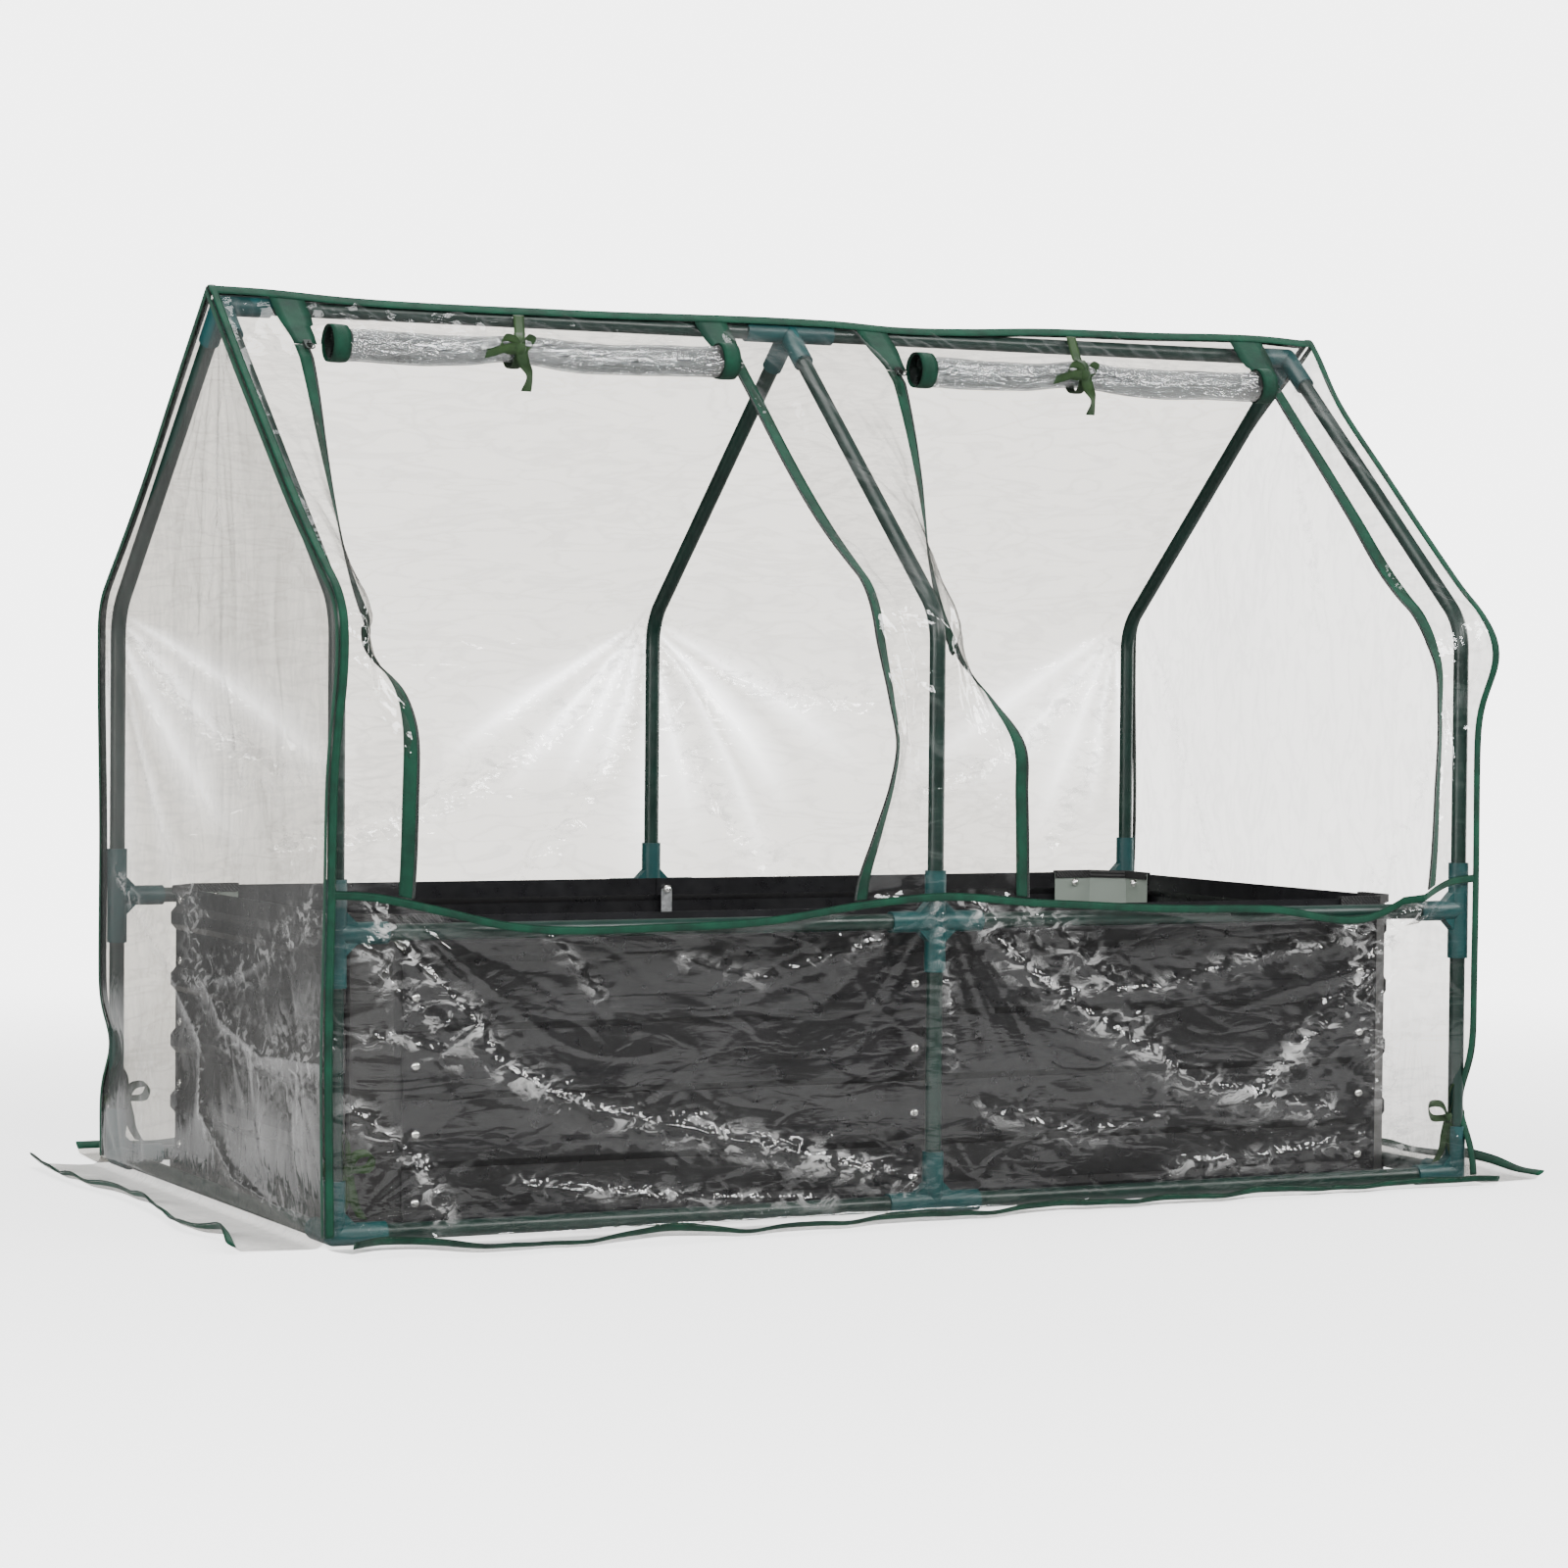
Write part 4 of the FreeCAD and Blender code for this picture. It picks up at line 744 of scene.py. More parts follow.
def two_sided_paint(name, outside, inside, roughness):
    """Corner plates: one colour on the faces that look out and another on those that look in."""
    n = new_nodes(name)
    place = n.place()
    geometry = n.add("NewGeometry", {}).node.outputs
    flat = n.add("VectorMath", {0: geometry["Position"], 1: (1, 1, 0)}, operation="MULTIPLY")
    facing = n.add("VectorMath", {0: flat, 1: geometry["True Normal"]}, "Value", operation="DOT_PRODUCT")
    shade = n.blend(n.math("LESS_THAN", facing, -0.02), outside, inside)
    shade = n.blend(n.math("MULTIPLY", n.noise(place, 26, 5, 0.6), 0.15), shade, (0.2, 0.2, 0.2, 1))
    normal = n.bump(n.noise(place, 420, 2), 0.25, 0.0002)
    return n.principled(shade, roughness, normal, {"Specular IOR Level": 0.3})


def plastic_material(name, colour, light):
    """Moulded plastic with a fine spark-eroded grain and faint flow marks."""
    n = new_nodes(name)
    place = n.place()
    shade = n.blend(n.ramp(n.noise(place, 18, 4), (0.3, 0.0), (0.8, 1.0)), colour, light)
    spread = n.ramp(n.noise(place, 45, 3), (0.2, 0.36), (0.8, 0.5))
    return n.principled(shade, spread, n.bump(n.noise(place, 900, 2), 0.3, 0.0002))


def metal_material(name, colour, roughness, spangle=0.0):
    """Bare metal, with large zinc crystals if asked."""
    n = new_nodes(name)
    place = n.place()
    cells = n.add("TexVoronoi", {"Vector": place, "Scale": 260}, "Color", feature="F1")
    crystals = n.math("MULTIPLY", n.add("SeparateColor", {"Color": cells}), spangle)
    dull = (*[part * 0.55 for part in colour[:3]], 1)
    spread = n.ramp(n.noise(place, 300, 3), (0.2, roughness * 0.8), (0.8, roughness * 1.4))
    normal = n.bump(n.noise(place, 700, 2), 0.12, 0.0002)
    return n.principled(n.blend(crystals, colour, dull), spread, normal, {"Metallic": 1.0})


def rubber_material(name):
    """Black rubber with close ribs."""
    n = new_nodes(name)
    place = n.place()
    normal = n.bump(n.wave(place, 160, "DIAGONAL"), 0.9, 0.0012)
    normal = n.bump(n.noise(place, 600, 3), 0.2, 0.0003, normal)
    shade = n.blend(n.noise(place, 40, 4), srgb(16, 16, 17), srgb(34, 34, 35))
    return n.principled(shade, 0.62, normal)


def coil_material(name):
    """Black nylon teeth of a zip, seen as a close row."""
    n = new_nodes(name)
    along = n.add("SeparateXYZ", {"Vector": n.add("UVMap", {}, uv_map="UVMap")}, "X")
    tooth = n.math("SINE", n.math("MULTIPLY", along, 2 * math.pi / 0.0014))
    shade = n.blend(n.ramp(tooth, (0.2, 0.0), (0.8, 1.0)), srgb(8, 14, 12), srgb(34, 48, 42))
    return n.principled(shade, 0.4, n.bump(tooth, 0.7, 0.0005))


BACKDROP = 5.0             # brightness of the backdrop


def floor_material():
    """White paper near the object that fades into the backdrop further out."""
    n = new_nodes("floor_paper")
    place = n.place()
    shade = n.blend(n.noise(place, 3, 3), (0.93, 0.93, 0.93, 1), (0.95, 0.95, 0.945, 1))
    normal = n.bump(n.noise(place, 260, 3), 0.05, 0.0005)
    paper = n.add("BsdfDiffuse", {"Color": shade, "Normal": normal})
    seen = n.add("LightPath", {}, "Is Camera Ray")
    strength = n.add("MapRange", {"Value": seen, "To Min": 0.08, "To Max": BACKDROP})
    glow = n.add("Emission", {"Color": WHITE, "Strength": strength})
    radius = n.add("VectorMath", {0: place}, "Value", operation="LENGTH")
    far = n.add("MapRange", {"Value": radius, "From Min": 0.8, "From Max": 3.0, "To Min": 0.4},
                interpolation_type="SMOOTHSTEP")
    return n.finish(n.mix(far, paper, glow))


FRONT_FILM = film_material("film_front", (0.90, 0.895, 0.885, 1), 0.012, face_on=0.042)
BACK_FILM = film_material("film_back", (0.51, 0.493, 0.460, 1), 0.05, dimming=0.88)
END_FILM = film_material(
    "film_end", (0.68, 0.67, 0.65, 1), 0.11, wrinkle=0.8, stretch=(1, 1, 0.4), turn=(0.3, 0, 0),
    face_on=0.05,
)
ROLL_FILM = film_material(
    "film_rolled", (0.82, 0.845, 0.85, 1), 0.05, wrinkle=2.2, stretch=(1.0, 5, 5), turn=(0, 0, 0.1),
    roughness=0.07, face_on=0.24, dimming=0.50,
)
BINDING = woven_material("binding_cloth", srgb(2, 38, 27), srgb(7, 66, 46), stitched=True)
TAB_CLOTH = woven_material("tab_cloth", srgb(2, 38, 28), srgb(7, 62, 44))
RIBBON = woven_material("ribbon_cloth", srgb(20, 40, 20), srgb(46, 70, 36), thread=1500)
TAPE = woven_material("zip_tape_cloth", srgb(2, 38, 27), srgb(7, 64, 45), thread=1600)
COIL = coil_material("zip_coil")
SLIDER_METAL = metal_material("slider_metal", (0.07, 0.08, 0.075, 1), 0.42)

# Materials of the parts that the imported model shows, by the record's slots.
CAD_MATERIALS = {
    "frame_paint": painted_material("tube_paint", srgb(7, 34, 28), srgb(14, 48, 40), 0.33),
    "socket_plastic": plastic_material("socket_plastic", srgb(4, 52, 54), srgb(10, 74, 74)),
    "bed_paint": painted_material("bed_paint", srgb(17, 17, 19), srgb(27, 27, 30), 0.30),
    "corner_paint": two_sided_paint("corner_paint", srgb(20, 20, 22), srgb(128, 138, 130), 0.35),
    "guard_rubber": rubber_material("guard_rubber"),
    "galvanised": metal_material("strap_zinc", (0.60, 0.62, 0.63, 1), 0.38, spangle=0.8),
    "bright_metal": metal_material("bright_zinc", (0.82, 0.82, 0.80, 1), 0.22),
}


# Camera, lights and floor.

def make_camera():
    """Look at the front from its left, from about half the object's height."""
    camera = bpy.data.objects.new("camera", bpy.data.cameras.new("camera"))
    bpy.context.scene.collection.objects.link(camera)
    bpy.context.scene.camera = camera
    azimuth, elevation, distance = math.radians(-26.2), math.radians(1.5), 4.33
    target = Vector((0, 0, 0.414))
    back = Vector((math.sin(azimuth) * math.cos(elevation), -math.cos(azimuth) * math.cos(elevation),
                   math.sin(elevation)))
    roll = Matrix.Rotation(math.radians(0.5), 3, "Z")
    facing = (-back).to_track_quat("-Z", "Y").to_matrix() @ roll
    camera.matrix_world = Matrix.Translation(target + back * distance) @ facing.to_4x4()
    camera.data.sensor_width = 36
    camera.data.lens = 93.825
    camera.data.clip_start, camera.data.clip_end = 0.05, 60


def area_light(name, place, target, size, power):
    """Add a softbox that lights and reflects but isn't seen itself."""
    light = bpy.data.lights.new(name, "AREA")
    light.shape = "RECTANGLE"
    light.size, light.size_y = size
    light.energy = power
    obj = bpy.data.objects.new(name, light)
    bpy.context.scene.collection.objects.link(obj)
    obj.visible_camera = False
    way = Vector(target) - Vector(place)
    obj.matrix_world = Matrix.Translation(place) @ way.to_track_quat("-Z", "Y").to_matrix().to_4x4()


def make_world():
    """A pale backdrop; what lights the scene is a bright dome over a dim horizon."""
    world = bpy.data.worlds.new("studio")
    bpy.context.scene.world = world
    n = Nodes(world)
    up = n.add("SeparateXYZ", {"Vector": n.add("TexCoord", {}, "Generated")}, "Z")
    dome = n.ramp(up, (0.0, 0.07), (0.15, 0.07), (0.5, 0.75), (0.75, 0.7), (0.88, 0.25), (1.0, 0.25))
    lighting = n.add("Background", {"Color": dome, "Strength": 1.0})
    backdrop = n.add("Background", {"Color": WHITE, "Strength": BACKDROP})
    n.finish(n.mix(n.add("LightPath", {}, "Is Camera Ray"), lighting, backdrop), "OutputWorld")


def make_studio():
    """Lay the floor and hang the softboxes round the object: azimuth, height, size and power."""
    make_world()
    corners = [(-30, -30, 0), (30, -30, 0), (30, 30, 0), (-30, 30, 0)]
    new_object("floor", corners, [[0, 1, 2, 3]], floor_material())
    area_light("top", (-0.9, 0.9, 3.6), (-0.1, 0, 0), (2.4, 2.4), 120)
    for index, (azimuth, height, size, power) in enumerate((
        (-10, 1.9, (0.9, 0.7), 65), (27, 2.2, (0.9, 0.6), 55), (60, 1.8, (0.8, 0.7), 55),
        (-50, 1.4, (0.3, 1.3), 30), (180, 3.0, (1.2, 0.6), 30), (-75, 1.0, (0.7, 1.6), 55),
        (95, 0.9, (0.7, 1.5), 50),
    )):
        angle = math.radians(azimuth)
        place = (3.0 * math.sin(angle), -3.0 * math.cos(angle), height)
        area_light(f"softbox_{index}", place, (0, 0, 0.3), size, power)


# Film.

def film_grid(x_range, s_range, step):
    """Return matching grids of x and s."""
    columns = max(int((x_range[1] - x_range[0]) / step), 3)
    rows = max(int((s_range[1] - s_range[0]) / step), 3)
    return np.moveaxis(pairs(np.linspace(*x_range, columns), np.linspace(*s_range, rows)), -1, 0)


def seam_fade(u, v, margin):
    """Fade folds out at a sheet's edges."""
    fade = 1.0
    for values in (u, v):
        fade = fade * smooth(0, margin, values - values.min()) * smooth(0, margin, values.max() - values)
    return fade


def foot_fade(s):
    """Fade folds out where the wall meets the floor."""
    return 1 - smooth(FOOT_START - 0.02, FOOT_END, s)


def skirt_rise(out, ripple):
    """Return how far the skirt stands off the floor, out from its fold; its hem kicks up."""
    kick = smooth(SKIRT - 0.014, SKIRT, out)
    slope = smooth(0, SKIRT, out)
    return 0.0006 + 0.0025 * slope * np.maximum(1 + ripple, 0.15) + 0.0090 * kick * (1 + 0.3 * ripple)


def skirt_lift(u, s, side):
    """Wave the front's or back's skirt off the floor."""
    ripple = waves((u, s * 0.4), 51 if side == FRONT else 87, 8, 0.30, 0.05)
    return skirt_rise(s - FOOT_END, ripple) * smooth(FOOT_START, FOOT_END, s)


def end_skirt_rise(y, z, side):
    """Return how far an end's skirt stands off the floor."""
    ripple = waves((y, z * 0.4), 108 if side == LEFT else 138, 8, 0.25, 0.05)
    return skirt_rise(FOOT - FOOT * math.pi / 2 - z, ripple)


def place_piece(piece, nodes, body="greenhouse"):
    """Say what a piece moves with and which nodes it replaces, and hide those nodes."""
    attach(piece, body)
    if nodes:
        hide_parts(*nodes)
    return piece


def film_sheet(name, grids, material, nodes, marks=None,
               body="greenhouse"):
    """Build one sheet of film, and say what it replaces."""
    builder = Builder()
    for grid in grids:
        builder.add_grid(grid)
    piece = place_piece(builder.build(name, material, marks), nodes, body)


def make_front_lower():
    """The strip below the doors: gathered chains of creases on smooth film."""
    top = s_at_height(WAIST - TRIM / 2)
    x, s = film_grid((-END_X, END_X), (top, HEM), 0.0027)
    z = FOOT + FOOT_START - s
    belly = -0.008 * np.abs(np.sin(math.pi * x / POST_X)) ** 0.7 * smooth(0, 0.12, s - top)
    folds, gathered = gather(
        x, z, FRONT_CHAINS, lambda depth, reach: (depth, 0.6 * reach, min(1, depth / 0.006)),
        ruffles=[(31, 1.0, 0.0019, 0.013, 0.6), (71, 1.6, 0.0006, 0.0062, -0.8)],
        near_reach=2.2, facets=[(201, 0.030, 0.0060), (205, 0.013, 0.0022)],
    )
    folds += belly * (1 - smooth(FOOT_START - 0.10, FOOT_START, s))
    for index, pull in enumerate(FRONT_PULLS):
        folds += fan(x, z, 110 + index, *pull)
    region = ((-0.62, 0.02), (0.62, 0.30))
    folds += creases(x, z, 41, 120, region, (0.02, 0.07), 0.0011, -0.45, 0.6, 0.004)
    folds += 0.0022 * waves((x, z), 45, 10, 0.22, 0.07)
    lift = folds * seam_fade(x, s, 0.012) * foot_fade(s) + skirt_lift(x, s, FRONT)
    points = cover_point(x, s, 0, FRONT, lift)
    points[..., 1] = np.minimum(points[..., 1], BED_FRONT)
    film_sheet(
        "film_front_lower", [points], FRONT_FILM, ["cover_film_front_lower"],
        marks={GATHERED: gathered},
    )


def make_back():
    """The back slope, wall and skirt in one sheet, with fans of folds below the bends of the tubes and
    painted highlight streaks along them.
    """
    x, s = film_grid((-END_X, END_X), (0.0, HEM), 0.0040)
    z = FOOT + FOOT_START - s
    between = np.abs(np.sin(math.pi * x / POST_X)) ** 0.8
    folds, gathered = gather(
        x, z, BACK_CHAINS, lambda depth, reach: (1.4 * depth, 0.014, 0.5),
        ruffles=[(131, 1.0, 0.0028, 0.020, 0.6), (161, 1.3, 0.0008, 0.0085, -0.9)],
        near_reach=2.0, facets=[(211, 0.032, 0.0065), (215, 0.015, 0.0022)],
    )
    folds -= 0.012 * between * smooth(0.05, 0.25, s) * (1 - smooth(0.7, 1.0, s))
    eave = (SLOPE_END + WALL_START) / 2
    down = math.pi / 2
    # Painted highlight: each fan's rays are marked so that the film lets the backdrop through whiter along
    # them.
    painted_streaks = np.zeros_like(x)
    for index, post in enumerate((-POST_X, 0.0, POST_X)):
        rays = fan(x, s, 61 + index, (post, eave), down, 1.15, 9, 0.36, 1.0)
        painted_streaks += 1.2 * np.abs(rays)
        folds += 0.0060 * rays + fan(x, s, 71 + index, (post, eave), -down, 1.3, 9, 0.26, 0.0016)
    upper, lower = ((-0.62, 0.05), (0.62, 0.60)), ((-0.62, 0.60), (0.62, 1.0))
    folds += creases(x, s, 81, 120, upper, (0.04, 0.20), 0.0012, -0.25, 0.35, 0.010)
    folds += creases(x, s, 83, 90, lower, (0.03, 0.12), 0.0011, 1.0, 0.6, 0.006)
    folds += 0.003 * waves((x, s), 85, 9, 0.35, 0.09)
    lift = folds * seam_fade(x, s, 0.015) * foot_fade(s) + skirt_lift(x, s, BACK)
    film_sheet(
        "film_back", [cover_point(x, s, 0, BACK, lift)], BACK_FILM, ["cover_film_back"],
        marks={GATHERED: gathered, PAINTED_STREAKS: painted_streaks},
    )


def make_end(side):
    """A house-shaped end with its skirt."""
    name = SIDE_NAMES[side]
    seed = 100 if side == LEFT else 130
    reach, height, _, _ = section(np.linspace(0, WALL_START, 400))
    columns, rows, skirt_rows = 190, 240, 22
    y = np.linspace(-1, 1, columns)[:, None] * WALL_Y
    top = np.interp(np.abs(y), reach, height)
    down = np.linspace(0, 1, rows)
    skirt = FOOT - np.linspace(0, FOOT * math.pi / 2 + SKIRT, skirt_rows)[1:]
    z = np.concatenate([top * (1 - down) + FOOT * down, np.tile(skirt, (columns, 1))], axis=1)
    y = np.tile(y, (1, z.shape[1]))
    sides = smooth(0, 0.02, WALL_Y - np.abs(y)) * smooth(0, 0.02, top - z)
    folds, gathered = gather(
        y, z, END_CHAINS[side], lambda depth, reach: (0.35 * depth, 0.007, 0.35),
        ruffles=[(seed, 1.0, 0.0009, 0.0085, 0.6), (seed + 21, 1.5, 0.0005, 0.0055, -0.7)],
    )
    folds -= 0.010 * sides * smooth(0.02, 0.3, z) * (0.6 + 0.4 * np.cos(math.pi * y / WALL_Y))
    folds += fan(y, z, seed + 2, (0.0, 0.88), -math.pi / 2, 0.6, 9, 0.5, 0.0016)
    folds += fan(y, z, seed + 4, (0.34, 0.60), -1.9, 0.5, 6, 0.40, 0.0014)
    region = ((-0.33, 0.02), (0.33, 0.75))
    folds += creases(y, z, seed + 3, 90, region, (0.03, 0.14), 0.0010, 1.35, 0.4, 0.007)
    folds += 0.002 * waves((y, z), seed + 5, 9, 0.25, 0.08)
    lift = end_skirt_rise(y, z, side) * (1 - smooth(0, FOOT, z))
    points = end_point(y, z, folds * sides * smooth(-0.01, 0.03, z) + lift, side)
    if side == RIGHT:
        points, gathered = points[:, ::-1], gathered[:, ::-1]
    film_sheet(
        f"film_{name}_end", [points], END_FILM, [f"cover_film_{name}_end"],
        {GATHERED: gathered},
    )


def make_flaps():
    """The strips beside and between the doors: place, sides, seed and number of long creases."""
    bottom = s_at_height(WAIST - TRIM / 2)
    for place, low, high, seed, count in (
        ("left", -END_X, -DOOR_OUTER, 200, 46),
        ("middle", -DOOR_INNER, DOOR_INNER, 210, 90),
        ("right", DOOR_OUTER, END_X, 220, 46),
    ):
        x, s = film_grid((low, high), (0.0, bottom), 0.0035)
        region, bent = ((low, 0.03), (high, bottom)), ((low, 0.42), (high, 0.62))
        folds = creases(x, s, seed, count, region, (0.03, 0.16), 0.0026, 1.45, 0.22, 0.006)
        folds += creases(x, s, seed + 1, 30, bent, (0.02, 0.08), 0.0032, 0.9, 0.5, 0.006)
        folds += 0.002 * waves((x, s), seed + 2, 8, 0.15, 0.04)
        points = cover_point(x, s, 0, FRONT, folds * seam_fade(x, s, 0.012))
        film_sheet(
            f"film_flap_{place}", [points], FRONT_FILM, [f"cover_flap_{place}"],
        )


def make_front_top():
    """The film above the two doors."""
    grids = []
    for low, high in ((-DOOR_OUTER, -DOOR_INNER), (DOOR_INNER, DOOR_OUTER)):
        x, s = film_grid((low, high), (0.0, DOOR_TOP), 0.0035)
        folds = creases(x, s, 230, 50, ((low, 0), (high, DOOR_TOP)), (0.01, 0.05), 0.0022, 0.8, 0.6, 0.004)
        folds += crumple(x, s, 233, 0.014, 0.0018)
        grids.append(cover_point(x, s, 0, FRONT, folds * seam_fade(x, s, 0.01)))
    film_sheet(
        "film_front_top", grids, FRONT_FILM, ["cover_film_front_top"],
    )


# Binding, zips and tabs. A slice of step -1 swaps a band's two edges where it faces the other way, so
# that its thickness is on the outside.

def make_ridge_binding():
    """Fold a strip of cloth over the ridge's seam."""
    ridge = Builder()
    for side in (FRONT, BACK):
        edges = [cover_point(ALONG_FRONT, s, 0.0008, side) for s in (0.0004, RIDGE_TRIM)]
        add_band(ridge, *edges[::side], 0.0012)
    place_piece(ridge.build("ridge_binding", BINDING), ["binding_ridge"])


def make_waist_binding():
    """Lay a strip of cloth along the top of the film below the doors."""
    waist = Builder()
    edges = [cover_point(ALONG_FRONT, s_at_height(z), 0.0006) for z in (WAIST - TRIM, WAIST)]
    add_band(waist, *edges, 0.0014)
    place_piece(waist.build("waist_binding", BINDING), ["binding_waist"])


def make_end_binding(side_x):
    """Fold cloth over the edges between an end and the front and back."""
    s = np.concatenate([np.linspace(0, SLOPE_END, 110), np.linspace(SLOPE_END, FOOT_START, 150)[1:]])
    reach, height, _, _ = section(s)
    on_wall = np.clip((s - SLOPE_END) / BEND_ARC, 0, 1)
    on_slope = 1 - on_wall
    lowered = height - TRIM * on_slope * COS
    narrowed = np.maximum(reach - TRIM * on_wall - TRIM * SIN * on_slope, 0)
    binding = Builder()
    for side_y in (FRONT, BACK):
        way = side_x * side_y
        outer = cover_point(side_x * END_X, s, 0.0008, side_y)
        inner = cover_point(side_x * (END_X - TRIM), s, 0.0008, side_y)
        add_band(binding, *[outer, inner][::way], 0.0013)
        near = end_point(side_y * reach, height, 0.0008, side_x)
        far = end_point(side_y * narrowed, lowered, 0.0008, side_x)
        add_band(binding, *[far, near][::way], 0.0013)
    name = SIDE_NAMES[side_x]
    place_piece(binding.build(f"{name}_end_binding", BINDING), [f"binding_{name}_end"])


def make_hem():
    """Fold cloth over the skirt's free edge."""
    hem = Builder()
    x = ALONG_FRONT
    for side in (FRONT, BACK):
        edges = [
            cover_point(x, s, 0.0004 + skirt_lift(x, np.full_like(x, s), side), side)
            for s in (HEM + 0.0008, HEM - HEM_TRIM)
        ]
        add_band(hem, *edges[::-side], 0.0026)
    y = np.linspace(-WALL_Y, WALL_Y, 140)
    hem_z = FOOT - FOOT * math.pi / 2 - SKIRT
    for side in (LEFT, RIGHT):
        edges = [
            end_point(y, z, 0.0004 + end_skirt_rise(y, np.full_like(y, z), side), side)
            for z in (hem_z - 0.0008, hem_z + HEM_TRIM)
        ]
        add_band(hem, *edges[::side], 0.0026)
    place_piece(hem.build("hem_binding", BINDING), ["binding_hem"])


def make_zips():
    """Tapes with their teeth along the flaps' free edges, and the tabs above them."""
    s = np.linspace(DOOR_TOP + 0.001, s_at_height(WAIST + 0.001), 260)
    overhang = 0.003
    for side_x, name in SIDE_NAMES.items():
        tape, teeth = Builder(), Builder()
        for edge, way in ((DOOR_INNER, 1), (DOOR_OUTER, -1)):
            free = side_x * (edge + way * overhang)
            for builder, width, out, thickness, crown in (
                (tape, 0.0150, 0.0007, 0.0009, 0.0), (teeth, 0.0030, 0.0012, 0.0016, 0.0005),
            ):
                low, high = sorted((free, free - side_x * way * width))
                add_band(builder, cover_point(high, s, out), cover_point(low, s, out), thickness, crown)
        place_piece(tape.build(f"zip_tape_{name}", TAPE), [f"zipper_tapes_{name}_door"])
        place_piece(teeth.build(f"zip_teeth_{name}", COIL), [])
    tabs = Builder()
    s = np.linspace(0.004, DOOR_TOP, 26)
    half = 0.0185 - 0.0065 * smooth(0.035, DOOR_TOP, s)
    for centre in (-DOOR_OUTER, -DOOR_INNER, DOOR_INNER, DOOR_OUTER):
        add_band(tabs, cover_point(centre + half, s, 0.0010), cover_point(centre - half, s, 0.0010), 0.0010)
    place_piece(tabs.build("zip_tabs", TAB_CLOTH), ["zip_top_tabs"])


# Rolled doors and ribbons.

class Roll:
    """A door rolled up and tied: its axis, its ends and where the ribbon holds it."""

    def __init__(self, side):
        self.name = SIDE_NAMES[side]
        low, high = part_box(f"door_roll_{self.name}")
        self.ends = (low.x, high.x)
        self.length = high.x - low.x
        self.y, self.z = (low.y + high.y) / 2, (low.z + high.z) / 2
        self.radius = (high.y - low.y) / 2
        self.tie = side * 0.325 - 0.024
        self.seed = 300 if side == LEFT else 320

    def shell(self, x, turn, inner, outer, turns, squeeze):
        """Return points of a spiral, wrinkled along the roll and squeezed and lifted by its tie."""
        size = inner + (outer - inner) * turn / (2 * math.pi * turns)
        place = (x - self.ends[0]) / self.length
        tied = np.exp(-((x - self.tie) / 0.05) ** 2)
        inside = smooth(0.0, 0.12, place) * smooth(0.0, 0.12, 1 - place)
        waisted = 1 - squeeze * (0.12 * inside + 0.60 * tied)
        wrinkle = 0.0012 * waves((x, 0.03 * np.cos(turn), 0.03 * np.sin(turn)), self.seed, 10, 0.12, 0.03)
        twist = 0.0009 * np.abs(np.sin(2.5 * turn + 16 * x + 1.5 * np.sin(8 * x)))
        twist += 0.0005 * np.sin(6 * turn - 31 * x)
        size = size * waisted + inside * (wrinkle - twist)
        sag = 0.0030 * np.sin(math.pi * np.clip(place, 0, 1)) - 0.0060 * tied
        return np.stack([x, self.y - np.cos(turn) * size, self.z + np.sin(turn) * size - sag], axis=-1)


def make_roll(roll):
    """Three turns of film, with the door's zip tape and teeth showing at the two ends; the teeth's spiral
    runs on into the roll's hollow core as painted shade.
    """
    film_turns, core, end_gap = 3, 0.0105, 0.012
    low, high = roll.ends
    x, turn = np.meshgrid(
        np.linspace(low + end_gap, high - end_gap, 150), np.linspace(0, 2 * math.pi * film_turns, 190),
        indexing="ij",
    )
    film = roll.shell(x, turn, core, roll.radius - 0.0012, film_turns, 0.22)
    body = f"door_{roll.name}"
    film_sheet(
        f"rolled_film_{roll.name}", [film], ROLL_FILM, [f"door_roll_{roll.name}"],
        body=body,
    )
    cloth, teeth = Builder(), Builder()
    for start, end, recess in ((low, low + 0.0185, 0.0025), (high - 0.0185, high, -0.0025)):
        for builder, shift, inner, outer, turns, count, thickness in (
            (cloth, 0.0, 0.0168, roll.radius - 0.0002, 1.5, 110, 0.0010),
            # The teeth wind in to 4 mm from the axis, past the film's core: the real zip coil, with painted
            # shade filling the hollow inside.
            (teeth, recess, 0.0040, 0.0160, 4.5, 260, 0.0020),
        ):
            turn = np.linspace(0, 2 * math.pi * turns, count)
            edges = [
                roll.shell(np.full_like(turn, x + shift), turn, inner, outer, turns, 0.0)
                for x in (end, start)
            ]
            add_band(builder, *edges, thickness)
    place_piece(cloth.build(f"rolled_tape_{roll.name}", TAPE), [], body)
    place_piece(teeth.build(f"rolled_teeth_and_core_shade_{roll.name}", COIL), [], body)


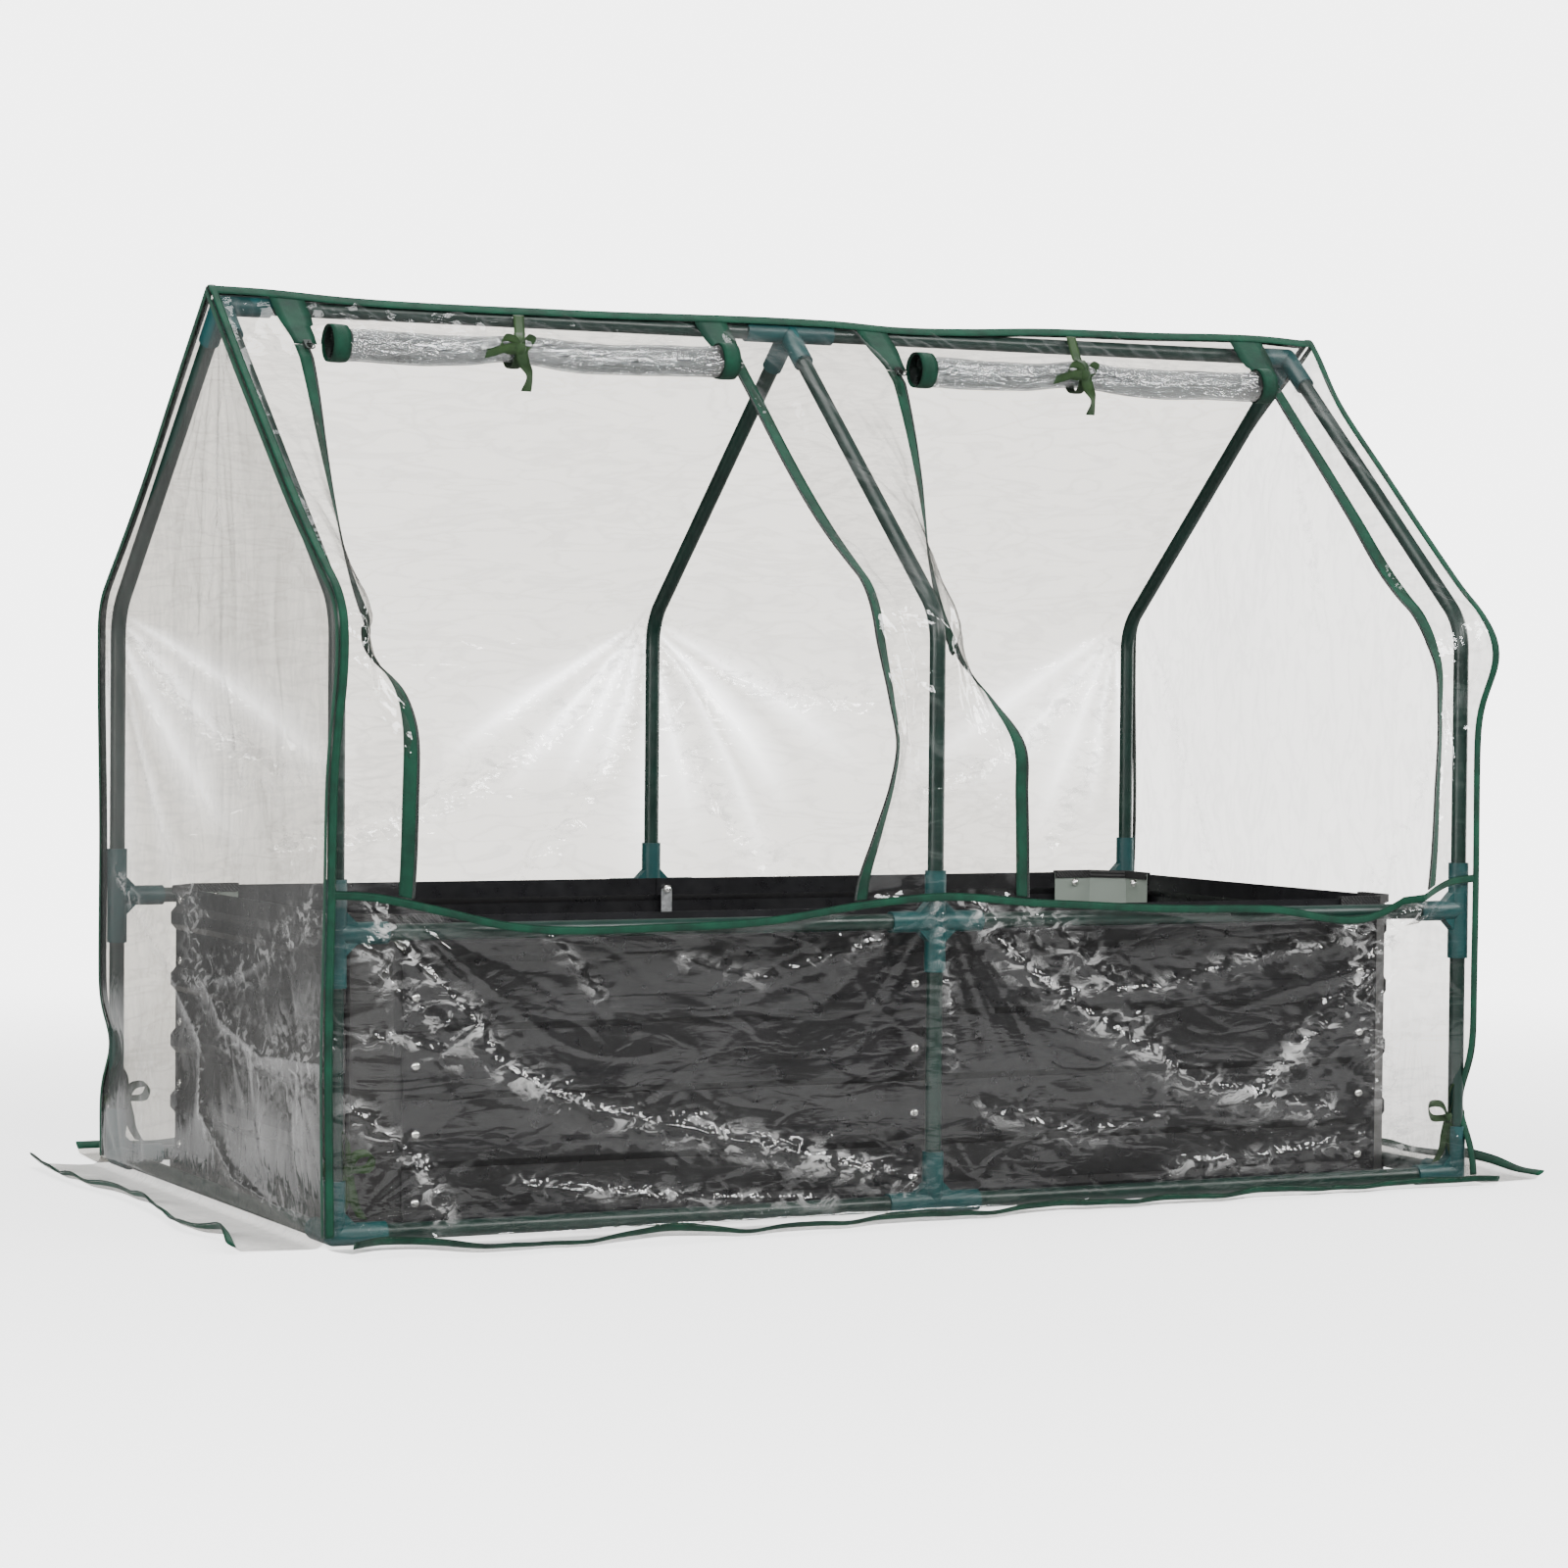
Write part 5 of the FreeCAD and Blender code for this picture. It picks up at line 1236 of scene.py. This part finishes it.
def make_roll_tie(roll):
    """A ribbon sewn at the ridge, passed round the roll and tied in a bow on its front."""
    tie, strap = Builder(), Builder()
    size = roll.radius - 0.0025
    front = roll.y - size
    angles = np.radians(np.arange(0, 361, 24))
    ring = [(roll.tie, roll.y - math.cos(a) * size, roll.z - 0.001 + math.sin(a) * size) for a in angles]
    add_ribbon(tie, ring, (1, 0, 0), 0.011, count=60)

    lean = 0.39
    sewn = [
        cover_point(roll.tie - lean * (reach + front), reach / COS, gap)
        for reach, gap in ((0.012, 0.0025), (0.030, 0.004), (0.046, 0.006))
    ]
    down = [
        (roll.tie + lean * (y - front), y, z)
        for y, z in ((roll.y + 0.006, roll.z + size + 0.002), (roll.y - 0.011, roll.z + size - 0.004),
                     (front - 0.001, roll.z + 0.005))
    ]
    add_ribbon(strap, sewn + down, (1, 0, 0), 0.012)
    piece = strap.build(f"roll_strap_{roll.name}", RIBBON)
    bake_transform(piece)

    knot = np.array([roll.tie, front - 0.0035, roll.z + 0.001])
    add_knot(tie, knot, 0.0065, 0.0095)
    near = np.array([roll.tie, front - 0.0060, roll.z])
    for width, comes_back, offsets, ways in BOW:
        points = [knot] + [near + offset for offset in offsets] + [knot] * comes_back
        add_ribbon(tie, points, ways, width)
    piece = tie.build(f"roll_ribbon_{roll.name}", RIBBON)
    place_piece(piece, [f"roll_tie_{roll.name}"], f"door_{roll.name}")


def add_knot(builder, centre, half_width, half_height):
    """Add the rounded lump of a knot."""
    rows, columns = 9, 12
    loops = np.zeros((rows, columns, 3))
    for i in range(rows):
        polar = math.pi * (0.06 + 0.88 * i / (rows - 1))
        for j in range(columns):
            angle = 2 * math.pi * j / columns
            girth = math.sin(polar) * (1 + 0.12 * math.cos(3 * angle + i))
            loops[i, j] = (half_width * girth * math.cos(angle), 0.0035 * girth * math.sin(angle),
                           0.7 * half_height * math.cos(polar))
    builder.add_loops(loops + centre, pairs(np.linspace(0, 0.02, rows), np.linspace(0, 1, columns)))


def make_corner_ties():
    """Ribbons round the corner posts, each in a loose bow that faces into the frame."""
    ties = Builder()
    up = np.array([0, 0, 1.0])
    for side_x in (LEFT, RIGHT):
        for side_y in (FRONT, BACK):
            inward = np.array([-side_x, 0.30 * side_y, 0]) / math.hypot(1, 0.30)
            sideways = np.array([side_x, 0, 0.25])
            centre = np.array([side_x * POST_X, side_y * POST_Y, TIE_HEIGHT])
            ring = [
                centre + 0.0092 * (math.cos(a) * inward + math.sin(a) * sideways)
                + 0.002 * math.sin(2 * a) * up
                for a in np.linspace(0, 2 * math.pi, 17)
            ]
            add_ribbon(ties, ring, up, 0.011, count=48)
            knot = centre + 0.0125 * inward
            add_knot(ties, knot, 0.0055, 0.008)
            for way, reach, rise in ((-1, 0.024, 0.016), (0.35, 0.020, 0.030)):
                shares = ((0, 0), (0.9, 0.5), (1, 1.2), (0.35, 1), (0, 0))
                loop = [knot + way * a * reach * sideways + b * rise * up for a, b in shares]
                add_ribbon(ties, loop, (0.4 * side_x, 0.5, 0.6), 0.0095)
            for way, drop in ((-1, 0.042), (0.6, 0.046)):
                shares = ((0, 0), (0.004, 0.35), (0.007, 0.70), (0.015, 1))
                tail = [knot + way * a * sideways - b * drop * up for a, b in shares]
                ways = [sideways, sideways + 0.4 * inward, sideways - 0.3 * inward, sideways]
                add_ribbon(ties, tail, ways, 0.0105)
    place_piece(ties.build("corner_ribbons", RIBBON), ["corner_ties"])


def paint_cad_parts():
    """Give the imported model's own parts their materials."""
    for part in frame["record"]["subparts"]:
        material = CAD_MATERIALS.get(part["material_slot"])
        if part["node"].startswith(("zipper_slider", "zipper_pull")):
            material = SLIDER_METAL
        if material is not None:
            shown = frame["nodes"][part["node"]].data.materials
            shown.clear()
            shown.append(material)


make_camera()
make_studio()
make_front_lower()
make_back()
make_flaps()
make_front_top()
make_ridge_binding()
make_waist_binding()
make_hem()
make_zips()
for end_side in (LEFT, RIGHT):
    make_end(end_side)
    make_end_binding(end_side)
    rolled_door = Roll(end_side)
    make_roll(rolled_door)
    make_roll_tie(rolled_door)
make_corner_ties()
paint_cad_parts()
